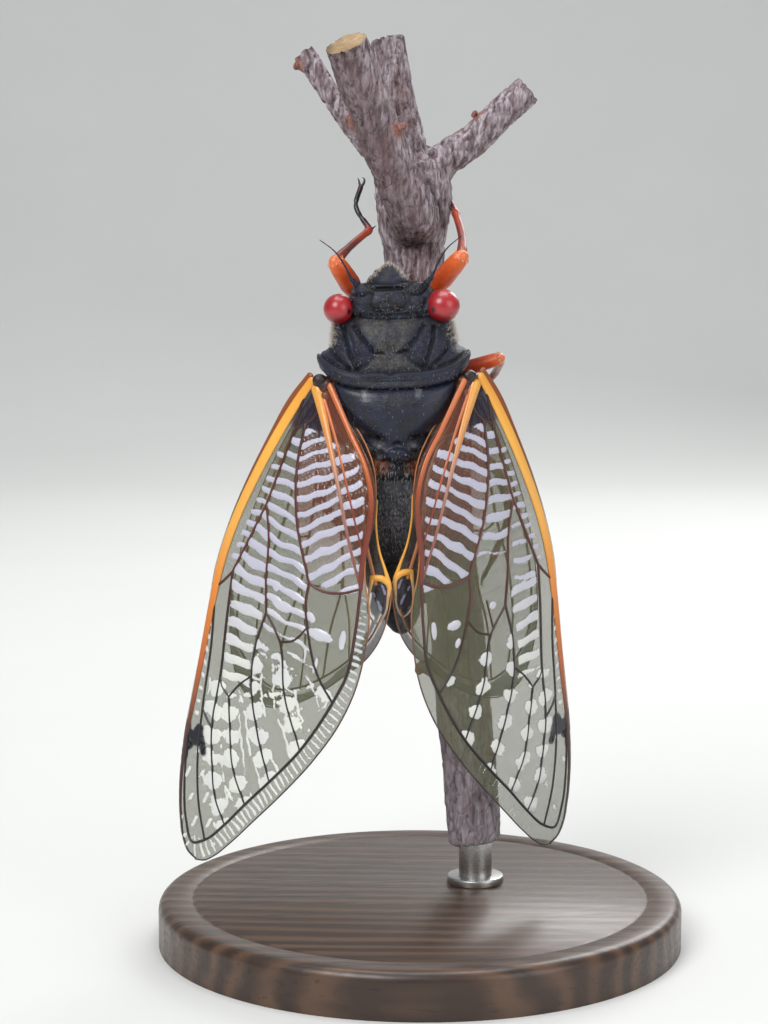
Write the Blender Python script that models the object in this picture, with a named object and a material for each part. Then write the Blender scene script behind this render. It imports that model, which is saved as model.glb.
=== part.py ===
"""A life-size periodical cicada gripping a forked twig, on a plain display stand.

Sizes are in millimetres and become metres where a mesh is made. +Z is up, and
the insect's back faces -Y. The insect has a frame of its own: x across it, -y
towards its back, z towards its head, with the origin between its wing roots.
"""

import math
import random

import bmesh
import bpy
import numpy as np
from mathutils import Matrix, Vector, geometry

MM = 0.001
GAP = 0.3  # clear space that touching pieces keep
UP = Vector((0, 0, 1))

# Stand and twig
BASE_RADIUS = 20.0
BASE_THICKNESS = 3.5
BASE_EDGE = 0.8
ROD_RADIUS = 1.3
TWIG_FOOT_HEIGHT = 6.8
BUD_RADIUS = 0.85

# Where the insect's frame stands over the base, and how far it leans to its left
CICADA_PLACE = (-2.0, -4.5, 44.0)
CICADA_LEAN_DEG = -1.6

# Body lengths along z, head up
HEAD_FRONT = 6.3
HEAD_REAR = 3.75
COLLAR_GROOVE = 0.15
COLLAR_REAR = -1.1
SCUTUM_REAR = -6.2
METANOTUM_REAR = -7.5
ABDOMEN_TIP = -19.6

# Body widths and depths
HEAD_HALF_WIDTH = 3.3
EYE_SPREAD = 3.78
EYE_RADII = (1.17, 1.25, 1.15)
EYE_LEVEL = (-1.15, 4.65)
COLLAR_HALF_WIDTH = 5.35
COLLAR_CURVE = 1.9
SCUTUM_HALF_WIDTH = 4.55
SCUTUM_TOP = -4.2
BELLY_LEVEL = 3.2
SPLIT_LEVEL = 0.7
ABDOMEN_HALF_WIDTH = 4.1
TERGITES = 8

# Wings: the span runs from root to tip, and the chord towards the hind margin
WING_ROOT_Y, WING_ROOT_Z = -1.6, -0.35
WING_HALF_THICKNESS = 0.26
VEIN_RISE = 0.16
WING_LAYER_STEP = 1.3
CAMBER = 1.3
CAMBER_CENTRE = 2.5
CAMBER_HALF_CHORD = 7.2
VEIN_STEP = 1.95
FILL_STEP = 2.7
# How far out each wing is rooted, then in degrees its splay, its tip's drop towards the twig and its roof slope
WING_POSE = {"left": (5.85, 15.9, 3.0, 34.0), "right": (6.15, 7.8, 9.4, 38.6)}
SIDES = {"left": -1, "right": 1}

COSTAL_MARGIN = [
    (-0.1, -0.6), (1.9, -1.6), (4.9, -2.6), (8.6, -3.6), (11.8, -4.2), (15.5, -4.5), (19.8, -4.1),
    (24.9, -3.8), (29.0, -3.5), (32.3, -2.9), (34.6, -2.1), (36.4, -1.0), (37.1, 0.2),
]
OUTER_MARGIN = [
    (37.1, 0.2), (36.4, 1.4), (34.9, 2.7), (32.4, 4.4), (29.8, 6.1), (26.2, 8.2),
    (23.2, 9.5), (20.5, 10.1), (17.5, 10.1), (15.3, 9.8), (13.9, 9.3), (13.2, 8.9),
]
CLAVUS_MARGIN = [
    (13.2, 8.9), (12.0, 8.4), (10.4, 8.0), (8.8, 7.8), (6.9, 7.4), (4.8, 6.3), (3.4, 4.9), (2.0, 3.2), (0.0, 1.5),
]
# Forewing veins: centreline points, then half width at root and tip
FOREWING_VEINS = {
    "costa": ([(0.4, -0.3), (4.8, -2.1), (8.6, -3.1), (11.8, -3.7), (15.5, -4.0), (17.2, -4.0)], 0.5, 0.45),
    "costa_end": ([(17.2, -4.0), (21.0, -3.7), (25.0, -3.4), (28.5, -3.2)], 0.4, 0.3),
    "basal_front": ([(0.4, -0.3), (2.4, -0.5), (3.8, -0.5)], 0.25, 0.22),
    "basal_rear": ([(0.6, 0.5), (2.3, 1.0), (3.3, 0.3), (3.8, -0.5)], 0.22, 0.22),
    "media": ([(3.8, -0.5), (7.0, -0.9), (9.8, -1.3)], 0.24, 0.22),
    "media_outer": ([(9.8, -1.3), (12.9, -2.1), (15.5, -2.8)], 0.22, 0.22),
    "node": ([(15.5, -2.8), (17.2, -4.0)], 0.22, 0.22),
    "radial_sector": ([(17.2, -4.0), (21.4, -3.1), (26.0, -2.5), (29.9, -1.8), (33.3, -0.6), (35.4, 0.6)], 0.22, 0.2),
    "radial_cross": ([(26.0, -2.5), (27.2, -1.2)], 0.22, 0.22),
    "media_1": (
        [(15.5, -2.8), (18.4, -2.4), (23.3, -1.6), (27.2, -1.2), (29.7, -0.4), (32.0, 0.6), (33.6, 2.0)], 0.22, 0.2),
    "media_cross": ([(23.3, -1.6), (24.4, -0.4)], 0.2, 0.2),
    "media_cross_rear": ([(22.2, 1.1), (23.4, 0.1), (24.4, -0.4)], 0.2, 0.2),
    "media_2": ([(24.4, -0.4), (26.6, 0.4), (29.3, 1.5), (31.5, 3.3)], 0.22, 0.2),
    "media_inner": ([(9.8, -1.3), (12.0, -0.4), (15.1, 0.3), (17.3, 1.0)], 0.22, 0.22),
    "media_3": ([(17.3, 1.0), (19.9, 0.8), (22.2, 1.1), (26.1, 2.9), (29.1, 4.9)], 0.22, 0.2),
    "media_4": ([(17.3, 1.0), (19.0, 2.8), (22.5, 4.3), (26.0, 6.8)], 0.22, 0.2),
    "cubital_cross": ([(19.0, 2.8), (18.5, 3.9), (17.2, 4.8)], 0.2, 0.2),
    "cubitus": ([(3.3, 0.3), (6.3, 0.5), (10.0, 1.6), (14.1, 4.0)], 0.24, 0.22),
    "cubitus_1": ([(14.1, 4.0), (15.4, 4.1), (17.2, 4.8), (20.3, 6.7), (21.8, 8.5)], 0.22, 0.2),
    "cubitus_2": ([(14.1, 4.0), (14.0, 6.3), (13.2, 8.4)], 0.22, 0.22),
    "claval": ([(0.6, 0.5), (3.2, 2.2), (6.1, 4.0), (10.5, 6.6), (13.2, 8.4)], 0.3, 0.25),
    "clavus_edge": ([(0.6, 1.2), (2.9, 3.6), (4.9, 5.7), (7.0, 6.9), (9.0, 7.4), (11.4, 7.8), (13.2, 8.4)], 0.3, 0.3),
    "ambient": (
        [(13.2, 8.4), (16.5, 8.9), (19.5, 9.1), (21.8, 8.5), (26.0, 6.8), (29.1, 4.9), (31.5, 3.3), (33.6, 2.0),
         (35.4, 0.6), (36.0, -0.4), (34.6, -1.5), (32.2, -2.4), (28.5, -3.2)], 0.24, 0.22),
}
HINDWING_MARGIN = [
    (0.9, 0.3), (5.0, -1.2), (10.0, -2.3), (15.0, -2.6), (19.0, -2.1), (21.8, -1.0), (23.7, 0.6), (24.2, 2.6),
    (23.4, 4.9), (21.7, 7.2), (19.6, 9.2), (18.2, 10.4), (16.6, 11.1), (14.8, 11.3), (13.1, 11.1), (11.6, 10.2),
    (10.2, 9.1), (8.6, 8.3), (6.8, 7.8), (4.8, 7.0), (3.0, 5.4), (1.8, 3.6), (0.8, 2.0),
]
HINDWING_VEINS = {
    "front": ([(1.3, 0.8), (5.0, -0.7), (10.0, -1.7), (15.0, -2.0), (19.0, -1.4), (21.0, -0.5)], 0.25, 0.2),
    "radius": ([(1.3, 0.8), (6.0, 0.6), (11.0, 0.5), (15.0, 0.1), (19.0, 0.5), (22.3, 1.7)], 0.24, 0.2),
    "media": ([(1.3, 0.8), (6.0, 2.2), (11.0, 3.0), (14.5, 3.3), (18.5, 3.0), (22.6, 3.4)], 0.24, 0.2),
    "media_rear": ([(14.5, 3.3), (18.0, 4.8), (21.8, 5.5)], 0.2, 0.2),
    "cubitus": ([(1.3, 0.8), (5.0, 3.6), (9.5, 5.4), (13.3, 6.8), (17.0, 6.8), (20.5, 7.2)], 0.24, 0.2),
    "cubitus_rear": ([(13.3, 6.8), (16.0, 8.2), (18.6, 9.0)], 0.2, 0.2),
    "cross_front": ([(11.0, 0.5), (11.4, 1.8), (11.0, 3.0)], 0.2, 0.2),
    "cross_rear": ([(14.5, 3.3), (14.2, 5.0), (13.3, 6.8)], 0.2, 0.2),
    "anal": ([(1.3, 0.8), (3.2, 3.8), (6.0, 6.2), (9.5, 7.6), (12.7, 9.6)], 0.35, 0.35),
    "lobe": ([(12.7, 9.6), (14.0, 9.4), (15.1, 10.2), (14.8, 10.8)], 0.22, 0.22),
    "ambient": (
        [(21.0, -0.5), (22.3, 1.7), (22.6, 3.4), (21.8, 5.5), (20.5, 7.2), (18.6, 9.0), (16.6, 10.3), (14.8, 10.8)],
        0.22, 0.22),
}

# Leg joints in the insect's frame: hip, knee bend, foot, then claw tip
FRONT_LEGS = {
    "left": [(-1.7, 3.1, 2.2), (-2.3, 3.3, 5.0), (-4.1, 1.9, 8.0), (-1.6, 4.6, 10.1), (-2.4, 5.4, 12.2), (-2.1, 6.2, 13.4)],
    "right": [(1.7, 3.1, 2.2), (2.7, 3.2, 5.2), (5.2, 1.6, 8.1), (5.3, 3.6, 9.4), (4.9, 6.4, 11.4), (4.5, 8.2, 12.5)],
}
MIDDLE_LEGS = {
    "left": [(-2.0, 3.3, -1.6), (-3.6, 4.0, -2.0), (-6.4, 4.0, -3.4), (-3.6, 6.4, -6.0), (0.2, 7.2, -8.4), (1.35, 7.6, -9.4)],
    "right": [(2.0, 3.3, -1.4), (4.2, 3.6, -0.6), (7.9, 2.6, 0.5), (7.6, 5.6, -0.8), (6.2, 8.0, -2.4), (5.3, 8.9, -3.5)],
}
HIND_LEGS = {
    "left": [(-1.8, 3.2, -5.4), (-3.6, 4.2, -6.8), (-6.0, 5.0, -9.8), (-3.6, 6.8, -13.2), (0.7, 7.7, -17.2), (2.0, 7.9, -18.4)],
    "right": [(1.8, 3.2, -5.0), (4.4, 4.6, -5.8), (7.6, 5.2, -8.0), (8.4, 6.8, -11.6), (7.2, 8.4, -15.4), (6.5, 9.0, -16.8)],
}

COLOURS = {
    "shell": ((0.012, 0.013, 0.02), 0.4),
    "eye": ((0.5, 0.02, 0.015), 0.2),
    "leg": ((0.62, 0.13, 0.02), 0.4),
    "wing": ((0.5, 0.36, 0.14), 0.35),
    "hindwing": ((0.42, 0.3, 0.16), 0.35),
    "bark": ((0.16, 0.1, 0.11), 0.9),
    "wood": ((0.05, 0.03, 0.02), 0.45),
    "rod": ((0.6, 0.58, 0.55), 0.3),
}


def clear_scene():
    for obj in list(bpy.data.objects):
        bpy.data.objects.remove(obj)


def finish_named(name):
    """The material of that finish, made once."""
    found = bpy.data.materials.get(name)
    if found:
        return found
    colour, roughness = COLOURS[name]
    material = bpy.data.materials.new(name)
    material.use_nodes = True
    shader = material.node_tree.nodes["Principled BSDF"]
    shader.inputs["Base Color"].default_value = (*colour, 1)
    shader.inputs["Roughness"].default_value = roughness
    shader.inputs["Metallic"].default_value = 1.0 if name == "rod" else 0.0
    return material


def object_from(name, bm, finish, parent=None):
    """A named object from a bmesh in millimetres."""
    bmesh.ops.recalc_face_normals(bm, faces=bm.faces)
    bmesh.ops.scale(bm, vec=(MM, MM, MM), verts=bm.verts)
    mesh = bpy.data.meshes.new(name)
    bm.to_mesh(mesh)
    bm.free()
    mesh.materials.append(finish_named(finish))
    obj = bpy.data.objects.new(name, mesh)
    bpy.context.scene.collection.objects.link(obj)
    obj.parent = parent
    return obj


def smooth_line(points, step):
    """Points along a smooth curve through the given ones, which all stay on it."""
    points = [Vector(p) for p in points]
    ends = [2 * points[0] - points[1]] + points + [2 * points[-1] - points[-2]]
    line = [points[0]]
    for before, start, end, after in zip(ends, ends[1:], ends[2:], ends[3:]):
        count = max(1, math.ceil((end - start).length / step))
        for i in range(1, count + 1):
            u = i / count
            line.append(
                0.5 * (2 * start + (end - before) * u + (2 * before - 5 * start + 4 * end - after) * u * u
                       + (3 * start - before - 3 * end + after) * u ** 3)
            )
    return line


def close_ring(bm, ring):
    """Closes a ring with strips across it, so that a curved end keeps its curve."""
    left, right = 1, len(ring) - 1
    bm.faces.new((ring[0], ring[left], ring[right]))
    while right - left > 1:
        strip = [ring[left], ring[left + 1], ring[right]]
        if right - left > 2:
            strip.insert(2, ring[right - 1])
        bm.faces.new(strip)
        left, right = left + 1, right - 1


def bridge_rings(bm, rings):
    """Joins rings of equal size with quads and closes both ends."""
    for ring, following in zip(rings, rings[1:]):
        for i, vert in enumerate(ring):
            after = (i + 1) % len(ring)
            bm.faces.new((vert, ring[after], following[after], following[i]))
    for ring in (rings[0], rings[-1]):
        close_ring(bm, ring)


def tube(line, radii, sides=8, flatten=1.0):
    """A bmesh tube along a line, with a radius at each point and round ends."""
    bm = bmesh.new()
    across = (line[1] - line[0]).orthogonal().normalized()
    rings = []
    for i, centre in enumerate(line):
        along = (line[min(i + 1, len(line) - 1)] - line[max(i - 1, 0)]).normalized()
        across = (across - along * across.dot(along)).normalized()
        other = along.cross(across)
        turns = [math.tau * k / sides for k in range(sides)]
        rings.append([
            bm.verts.new(centre + radii[i] * (across * math.cos(a) + other * math.sin(a) * flatten)) for a in turns
        ])
    bridge_rings(bm, rings)
    return bm


def tapered_radii(stations, count):
    """Radii for count points, read from (share of the length, radius) stations."""
    shares, radii = zip(*stations)
    return np.interp(np.linspace(0, 1, count), shares, radii).tolist()


def rounded_section(x_half, y_top, y_bottom, power, sides):
    """Points of a body section: fuller than an ellipse where power is over 2."""
    level, half = (y_top + y_bottom) / 2, (y_bottom - y_top) / 2
    points = []
    for k in range(sides):
        c, s = math.cos(math.tau * k / sides), math.sin(math.tau * k / sides)
        x = math.copysign(abs(c) ** (2 / power), c) * x_half
        y = math.copysign(abs(s) ** (2 / power), s) * half + level
        points.append((x, y))
    return points


def neck_slope(y, z):
    """Slants the joint between head and thorax, so that no sight line passes through it."""
    return 0.3 * (y + 2.3) * smoothstep(1.9, 3.6, z) * smoothstep(5.6, 3.9, z)


def finer(sections, step):
    """The same sections with more between them, at most a step apart in z."""
    table = np.array(sections)
    heights = [
        z for a, b in zip(table[:, 0], table[1:, 0]) for z in np.linspace(a, b, math.ceil(abs(b - a) / step) + 1)[:-1]
    ] + [table[-1, 0]]
    order = table[::-1]
    columns = [np.interp(heights, order[:, 0], order[:, k]) for k in range(1, 5)]
    return list(zip(heights, *(column.tolist() for column in columns)))


def loft(sections, sides=32, bend=None, relief=None):
    """A bmesh body through sections of (z, half width, back level, belly level, power)."""
    bm = bmesh.new()
    rings = []
    for z, x_half, y_top, y_bottom, power in sections:
        ring = []
        for x, y in rounded_section(x_half, y_top, y_bottom, power, sides):
            point = Vector((x, y, float(z) + (bend(x, z) if bend else 0) + neck_slope(y, z)))
            if relief and y < SPLIT_LEVEL:
                point.y += relief(point.x, point.z)
            ring.append(bm.verts.new(point))
        rings.append(ring)
    bridge_rings(bm, rings)
    return bm


def ball(centre, radii, rings=10, sides=16):
    bm = bmesh.new()
    bmesh.ops.create_uvsphere(bm, u_segments=sides, v_segments=rings, radius=1)
    bmesh.ops.scale(bm, vec=radii, verts=bm.verts)
    bmesh.ops.translate(bm, vec=centre, verts=bm.verts)
    return bm


def cone(root, tip, radius, sides=5, tip_radius=0.08):
    line = [Vector(root), (Vector(root) + Vector(tip)) / 2, Vector(tip)]
    return tube(line, [radius, (radius + tip_radius) / 2, tip_radius], sides)


def keep_side(bm, level, normal):
    """Cuts a bmesh by a plane through level, and keeps what lies behind its normal."""
    found = bmesh.ops.bisect_plane(
        bm, geom=bm.verts[:] + bm.edges[:] + bm.faces[:], dist=1e-5, plane_co=level, plane_no=normal, clear_outer=True
    )
    edges = [e for e in found["geom_cut"] if isinstance(e, bmesh.types.BMEdge)]
    bmesh.ops.holes_fill(bm, edges=edges, sides=0)
    return bm


def apply_mesh(obj):
    """Bakes an object's modifiers into its mesh."""
    graph = bpy.context.evaluated_depsgraph_get()
    mesh = bpy.data.meshes.new_from_object(obj.evaluated_get(graph))
    obj.modifiers.clear()
    obj.data = mesh


def keep_largest(obj):
    """Keeps the largest closed surface of a mesh."""
    bm = bmesh.new()
    bm.from_mesh(obj.data)
    bmesh.ops.triangulate(bm, faces=bm.faces)
    bmesh.ops.remove_doubles(bm, verts=bm.verts, dist=1e-7)
    left, shells = set(bm.faces), []
    while left:
        shell, queue = set(), [left.pop()]
        while queue:
            face = queue.pop()
            shell.add(face)
            for edge in face.edges:
                near = [f for f in edge.link_faces if f in left]
                left.difference_update(near)
                queue.extend(near)
        shells.append(shell)
    largest = max(shells, key=lambda s: sum(f.calc_area() for f in s))
    bmesh.ops.delete(bm, geom=[f for f in bm.faces if f not in largest], context="FACES")
    bm.to_mesh(obj.data)
    bm.free()


def combine(obj, others, operation, solver="EXACT"):
    """Joins or cuts obj with other objects in one Boolean, and removes those."""
    group = bpy.data.collections.new("pieces")
    bpy.context.scene.collection.children.link(group)
    for other in others:
        group.objects.link(other)
    boolean = obj.modifiers.new("combine", "BOOLEAN")
    boolean.operation = operation
    boolean.solver = solver
    boolean.operand_type = "COLLECTION"
    boolean.collection = group
    bpy.context.view_layer.update()
    apply_mesh(obj)
    keep_largest(obj)
    for other in others:
        bpy.data.objects.remove(other)
    bpy.data.collections.remove(group)
    return obj


def join_pieces(name, pieces, finish, parent=None):
    """One closed node from several overlapping bmeshes."""
    first, *rest = [object_from(name if i == 0 else f"{name}_piece", bm, finish, parent) for i, bm in enumerate(pieces)]
    return combine(first, rest, "UNION", "MANIFOLD") if rest else first


def grown(obj, margin=GAP):
    """A copy of an object, thicker by the margin all round, to cut clear space with."""
    bm = bmesh.new()
    bm.from_mesh(obj.data)
    bmesh.ops.remove_doubles(bm, verts=bm.verts, dist=1e-7)
    bm.normal_update()
    moved = [(v, v.co + v.normal * margin * MM * min(v.calc_shell_factor(), 1.6)) for v in bm.verts]
    for vert, place in moved:
        vert.co = place
    mesh = bpy.data.meshes.new("cutter")
    bm.to_mesh(mesh)
    bm.free()
    copy = bpy.data.objects.new("cutter", mesh)
    bpy.context.scene.collection.objects.link(copy)
    copy.parent = obj.parent
    return copy


def cut_clear(obj, *others):
    """Cuts obj back so that it keeps the gap from the others."""
    return combine(obj, [grown(other) for other in others], "DIFFERENCE")


def smoothstep(low, high, value):
    u = min(max((value - low) / (high - low), 0), 1)
    return u * u * (3 - 2 * u)


def wing_surface(side, lower):
    """The wing's middle surface as a function of span and chord, lower by that much."""
    root_x, *angles = WING_POSE[side]
    yaw, drop, roof = (math.radians(a) for a in angles)
    out = SIDES[side]
    span = Vector((out * math.sin(yaw) * math.cos(drop), math.sin(drop), -math.cos(yaw) * math.cos(drop)))
    flat_chord = Vector((-out * math.cos(yaw), 0, -math.sin(yaw)))
    back = span.cross(flat_chord).normalized()
    back *= -1 if back.y > 0 else 1
    chord = flat_chord * math.cos(roof) + back * math.sin(roof)
    root = Vector((out * root_x, WING_ROOT_Y, WING_ROOT_Z))

    def place(s, t):
        arch = 1 - ((t - CAMBER_CENTRE) / CAMBER_HALF_CHORD) ** 2
        lift = CAMBER * max(arch, -0.5) * smoothstep(0, 9, s) * (1 - 0.35 * smoothstep(22, 36, s))
        return root + span * s + chord * t + Vector((0, lower - lift, 0))

    def normal(s, t):
        d = 0.05
        n = (place(s + d, t) - place(s - d, t)).cross(place(s, t + d) - place(s, t - d)).normalized()
        return -n if n.y > 0 else n

    return place, normal


def distance_to_line(points, line):
    """The distance of each point to a polyline, and the share of its length there."""
    a = np.array([p[:2] for p in line[:-1]])
    b = np.array([p[:2] for p in line[1:]])
    lengths = np.linalg.norm(b - a, axis=1)
    ab = b - a
    u = np.clip(((points[:, None] - a) * ab).sum(2) / (lengths ** 2), 0, 1)
    gaps = np.linalg.norm(points[:, None] - (a + u[..., None] * ab), axis=2)
    nearest = gaps.argmin(1)
    rows = np.arange(len(points))
    travelled = np.concatenate([[0], np.cumsum(lengths)])[nearest] + u[rows, nearest] * lengths[nearest]
    return gaps[rows, nearest], travelled / lengths.sum()


def inside(point, outline):
    """True where a flat point lies within a closed outline."""
    found = False
    for (x0, y0), (x1, y1) in zip(outline, outline[1:] + outline[:1]):
        if (y0 > point[1]) != (y1 > point[1]) and point[0] < (x1 - x0) * (point[1] - y0) / (y1 - y0) + x0:
            found = not found
    return found


def flat_wing(margin, veins):
    """Corners, triangles and vein rise of a wing drawn flat, with its veins as creases."""
    outline = smooth_line(margin + margin[:1], VEIN_STEP)[:-1]
    outline = [tuple(p[:2]) for p in outline]
    lines = {name: smooth_line(points, VEIN_STEP) for name, (points, _, _) in veins.items()}
    corners, edges = list(outline), []
    edges += [(i, (i + 1) % len(outline)) for i in range(len(outline))]
    index = {}

    def corner(p):
        key = (round(p[0], 3), round(p[1], 3))
        if key not in index:
            index[key] = len(corners)
            corners.append((p[0], p[1]))
        return index[key]

    for line in lines.values():
        path = [corner(p) for p in line]
        edges += list(zip(path, path[1:]))
    centre_count = len(corners)
    sides = []
    for name, line in lines.items():
        _, root_half, tip_half = veins[name]
        for i in range(len(line)):
            along = (line[min(i + 1, len(line) - 1)] - line[max(i - 1, 0)]).normalized()
            half = root_half + (tip_half - root_half) * i / (len(line) - 1)
            for turn in (-1, 1):
                sides.append((line[i].x - along.y * turn * half, line[i].y + along.x * turn * half))
    low, high = np.min(outline, axis=0), np.max(outline, axis=0)
    grid = [
        (s + (FILL_STEP / 2) * (row % 2), t)
        for row, t in enumerate(np.arange(low[1], high[1], FILL_STEP * 0.87))
        for s in np.arange(low[0], high[0], FILL_STEP)
    ]
    closed = [Vector(p) for p in outline + outline[:1]]
    for points, from_edge, from_vein in ((sides, 0.22, 0.17), (grid, 0.9, 0.9)):
        points = np.array([p for p in points if inside(p, outline)])
        room = distance_to_line(points, closed)[0] > from_edge
        for line in lines.values():
            room &= distance_to_line(points, line)[0] > from_vein
        taken = np.array(corners[centre_count:] or [(-99.0, -99.0)])
        for point in points[room]:
            if np.linalg.norm(taken - point, axis=1).min() > 0.2:
                corners.append(tuple(point))
                taken = np.vstack([taken, point])
    flat = [Vector(p) for p in corners]
    made, _, faces, *_ = geometry.delaunay_2d_cdt(flat, edges, [list(range(len(outline)))], 1, 1e-4)
    made = [tuple(p) for p in made]
    faces = [f for f in faces if inside(np.mean([made[i] for i in f], axis=0), outline)]
    rise = np.zeros(len(made))
    for name, line in lines.items():
        _, root_half, tip_half = veins[name]
        gap, share = distance_to_line(np.array(made), line)
        half = root_half + (tip_half - root_half) * share
        rise = np.maximum(rise, VEIN_RISE * (half / 0.22) ** 0.7 * np.clip(1 - gap / half, 0, 1))
    return made, faces, rise


def make_wing(name, side, margin, veins, lower, finish, parent):
    """A closed thin wing, split into triangles alike on both faces."""
    corners, faces, rise = flat_wing(margin, veins)
    place, normal = wing_surface(side, lower)
    bm = bmesh.new()
    upper, under = [], []
    for (s, t), height in zip(corners, rise):
        middle, out = place(s, t), normal(s, t)
        upper.append(bm.verts.new(middle + out * (WING_HALF_THICKNESS + height)))
        under.append(bm.verts.new(middle - out * (WING_HALF_THICKNESS + 0.6 * height)))
    used = {}
    for face in faces:
        bm.faces.new([upper[i] for i in face])
        bm.faces.new([under[i] for i in reversed(face)])
        for a, b in zip(face, face[1:] + face[:1]):
            used[(a, b)] = True
    for a, b in used:
        if (b, a) not in used:
            bm.faces.new((upper[b], upper[a], under[a]))
            bm.faces.new((upper[b], under[a], under[b]))
    loose = [v for v in bm.verts if not v.link_faces]
    bmesh.ops.delete(bm, geom=loose, context="VERTS")
    return object_from(name, bm, finish, parent)


def collar_bend(x, z):
    """Raises the collar's sides towards the head, as its curved rear margin does."""
    return COLLAR_CURVE * (x / COLLAR_HALF_WIDTH) ** 2 * smoothstep(HEAD_REAR, COLLAR_GROOVE, z)


def scutum_bend(x, z):
    return COLLAR_CURVE * (x / COLLAR_HALF_WIDTH) ** 2 * smoothstep(-4.5, COLLAR_REAR, z)


def pronotum_relief(x, z):
    """Hollows of the paired side lobes beside the middle band, and the groove before the collar."""
    lobe = math.exp(-((abs(x) - 2.5) / 0.55) ** 2 - ((z - 1.9 - 0.35 * abs(x)) / 1.0) ** 2)
    groove = math.exp(-((z - collar_bend(x, COLLAR_GROOVE) - COLLAR_GROOVE) / 0.3) ** 2)
    return 0.28 * lobe + 0.18 * groove


def scutum_relief(x, z):
    """The raised cross at the rear of the middle plate, with a pit on each side of it."""
    away = abs(z + 5.35)
    arm = math.exp(-((abs(x) - 0.3 - 1.1 * away) / 0.38) ** 2) * smoothstep(1.3, 0.9, away)
    pit = math.exp(-((abs(x) - 1.5) / 0.45) ** 2 - (away / 0.4) ** 2)
    return 0.3 * pit - 0.25 * arm


def make_head(cicada):
    """The head capsule, eyes, face, beak, simple eyes and feelers."""
    head = object_from("head", loft([
        (HEAD_REAR + 0.15, 2.9, -2.1, 2.0, 2.6),
        (HEAD_REAR + 0.45, HEAD_HALF_WIDTH + 0.15, -2.35, 2.3, 2.8),
        (4.7, HEAD_HALF_WIDTH, -2.4, 2.5, 2.8),
        (5.4, HEAD_HALF_WIDTH - 0.15, -2.3, 2.5, 2.8),
        (6.0, HEAD_HALF_WIDTH - 0.5, -2.1, 2.2, 2.6),
        (HEAD_FRONT, 2.2, -1.85, 1.7, 2.4),
    ], sides=32), "shell", cicada)
    face = object_from("face", loft([
        (3.9, 0.8, 1.2, 3.0, 2.2),
        (4.4, 1.3, 0.4, 3.45, 2.2),
        (5.1, 1.65, -0.4, 3.6, 2.2),
        (5.8, 1.8, -1.2, 3.4, 2.2),
        (6.5, 1.7, -1.75, 2.9, 2.2),
        (7.1, 1.3, -1.65, 2.1, 2.2),
        (7.6, 0.75, -1.25, 1.2, 2.0),
        (7.8, 0.3, -0.85, 0.4, 2.0),
    ], sides=20), "shell", cicada)
    eyes = []
    for side, out in SIDES.items():
        centre = (out * EYE_SPREAD, *EYE_LEVEL)
        eyes.append(object_from(f"eye_{side}", ball(centre, EYE_RADII, 9, 16), "eye", cicada))
    cut_clear(head, face, *eyes)
    simple_eyes = [ball((x, -2.32, z), (0.22, 0.3, 0.22), 6, 8) for x, z in ((0, 5.25), (-0.42, 4.75), (0.42, 4.75))]
    head = combine(head, [object_from("ocellus", bm, "shell", cicada) for bm in simple_eyes], "UNION")
    beak_line = smooth_line([(0, 3.45, 4.5), (0, 4.0, 3.4), (0, 4.1, 1.0), (0, 4.0, -2.2)], 0.9)
    beak = tube(beak_line, tapered_radii([(0, 0.55), (0.4, 0.42), (1, 0.26)], len(beak_line)), 8)
    beak = object_from("beak", beak, "leg", cicada)
    cut_clear(beak, face, head)
    for side, out in SIDES.items():
        line = smooth_line([(out * 2.35, -1.2, 6.1), (out * 2.9, -1.3, 6.75), (out * 3.35, -1.4, 7.7),
                            (out * 4.05, -1.3, 8.75), (out * 5.1, -1.2, 9.6)], 0.8)
        radii = tapered_radii([(0, 0.38), (0.2, 0.34), (0.28, 0.27), (0.8, 0.24), (1, 0.14)], len(line))
        feeler = object_from(f"antenna_{side}", tube(line, radii, 7), "shell", cicada)
        cut_clear(feeler, head, face)
    return head, face, eyes


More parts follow.
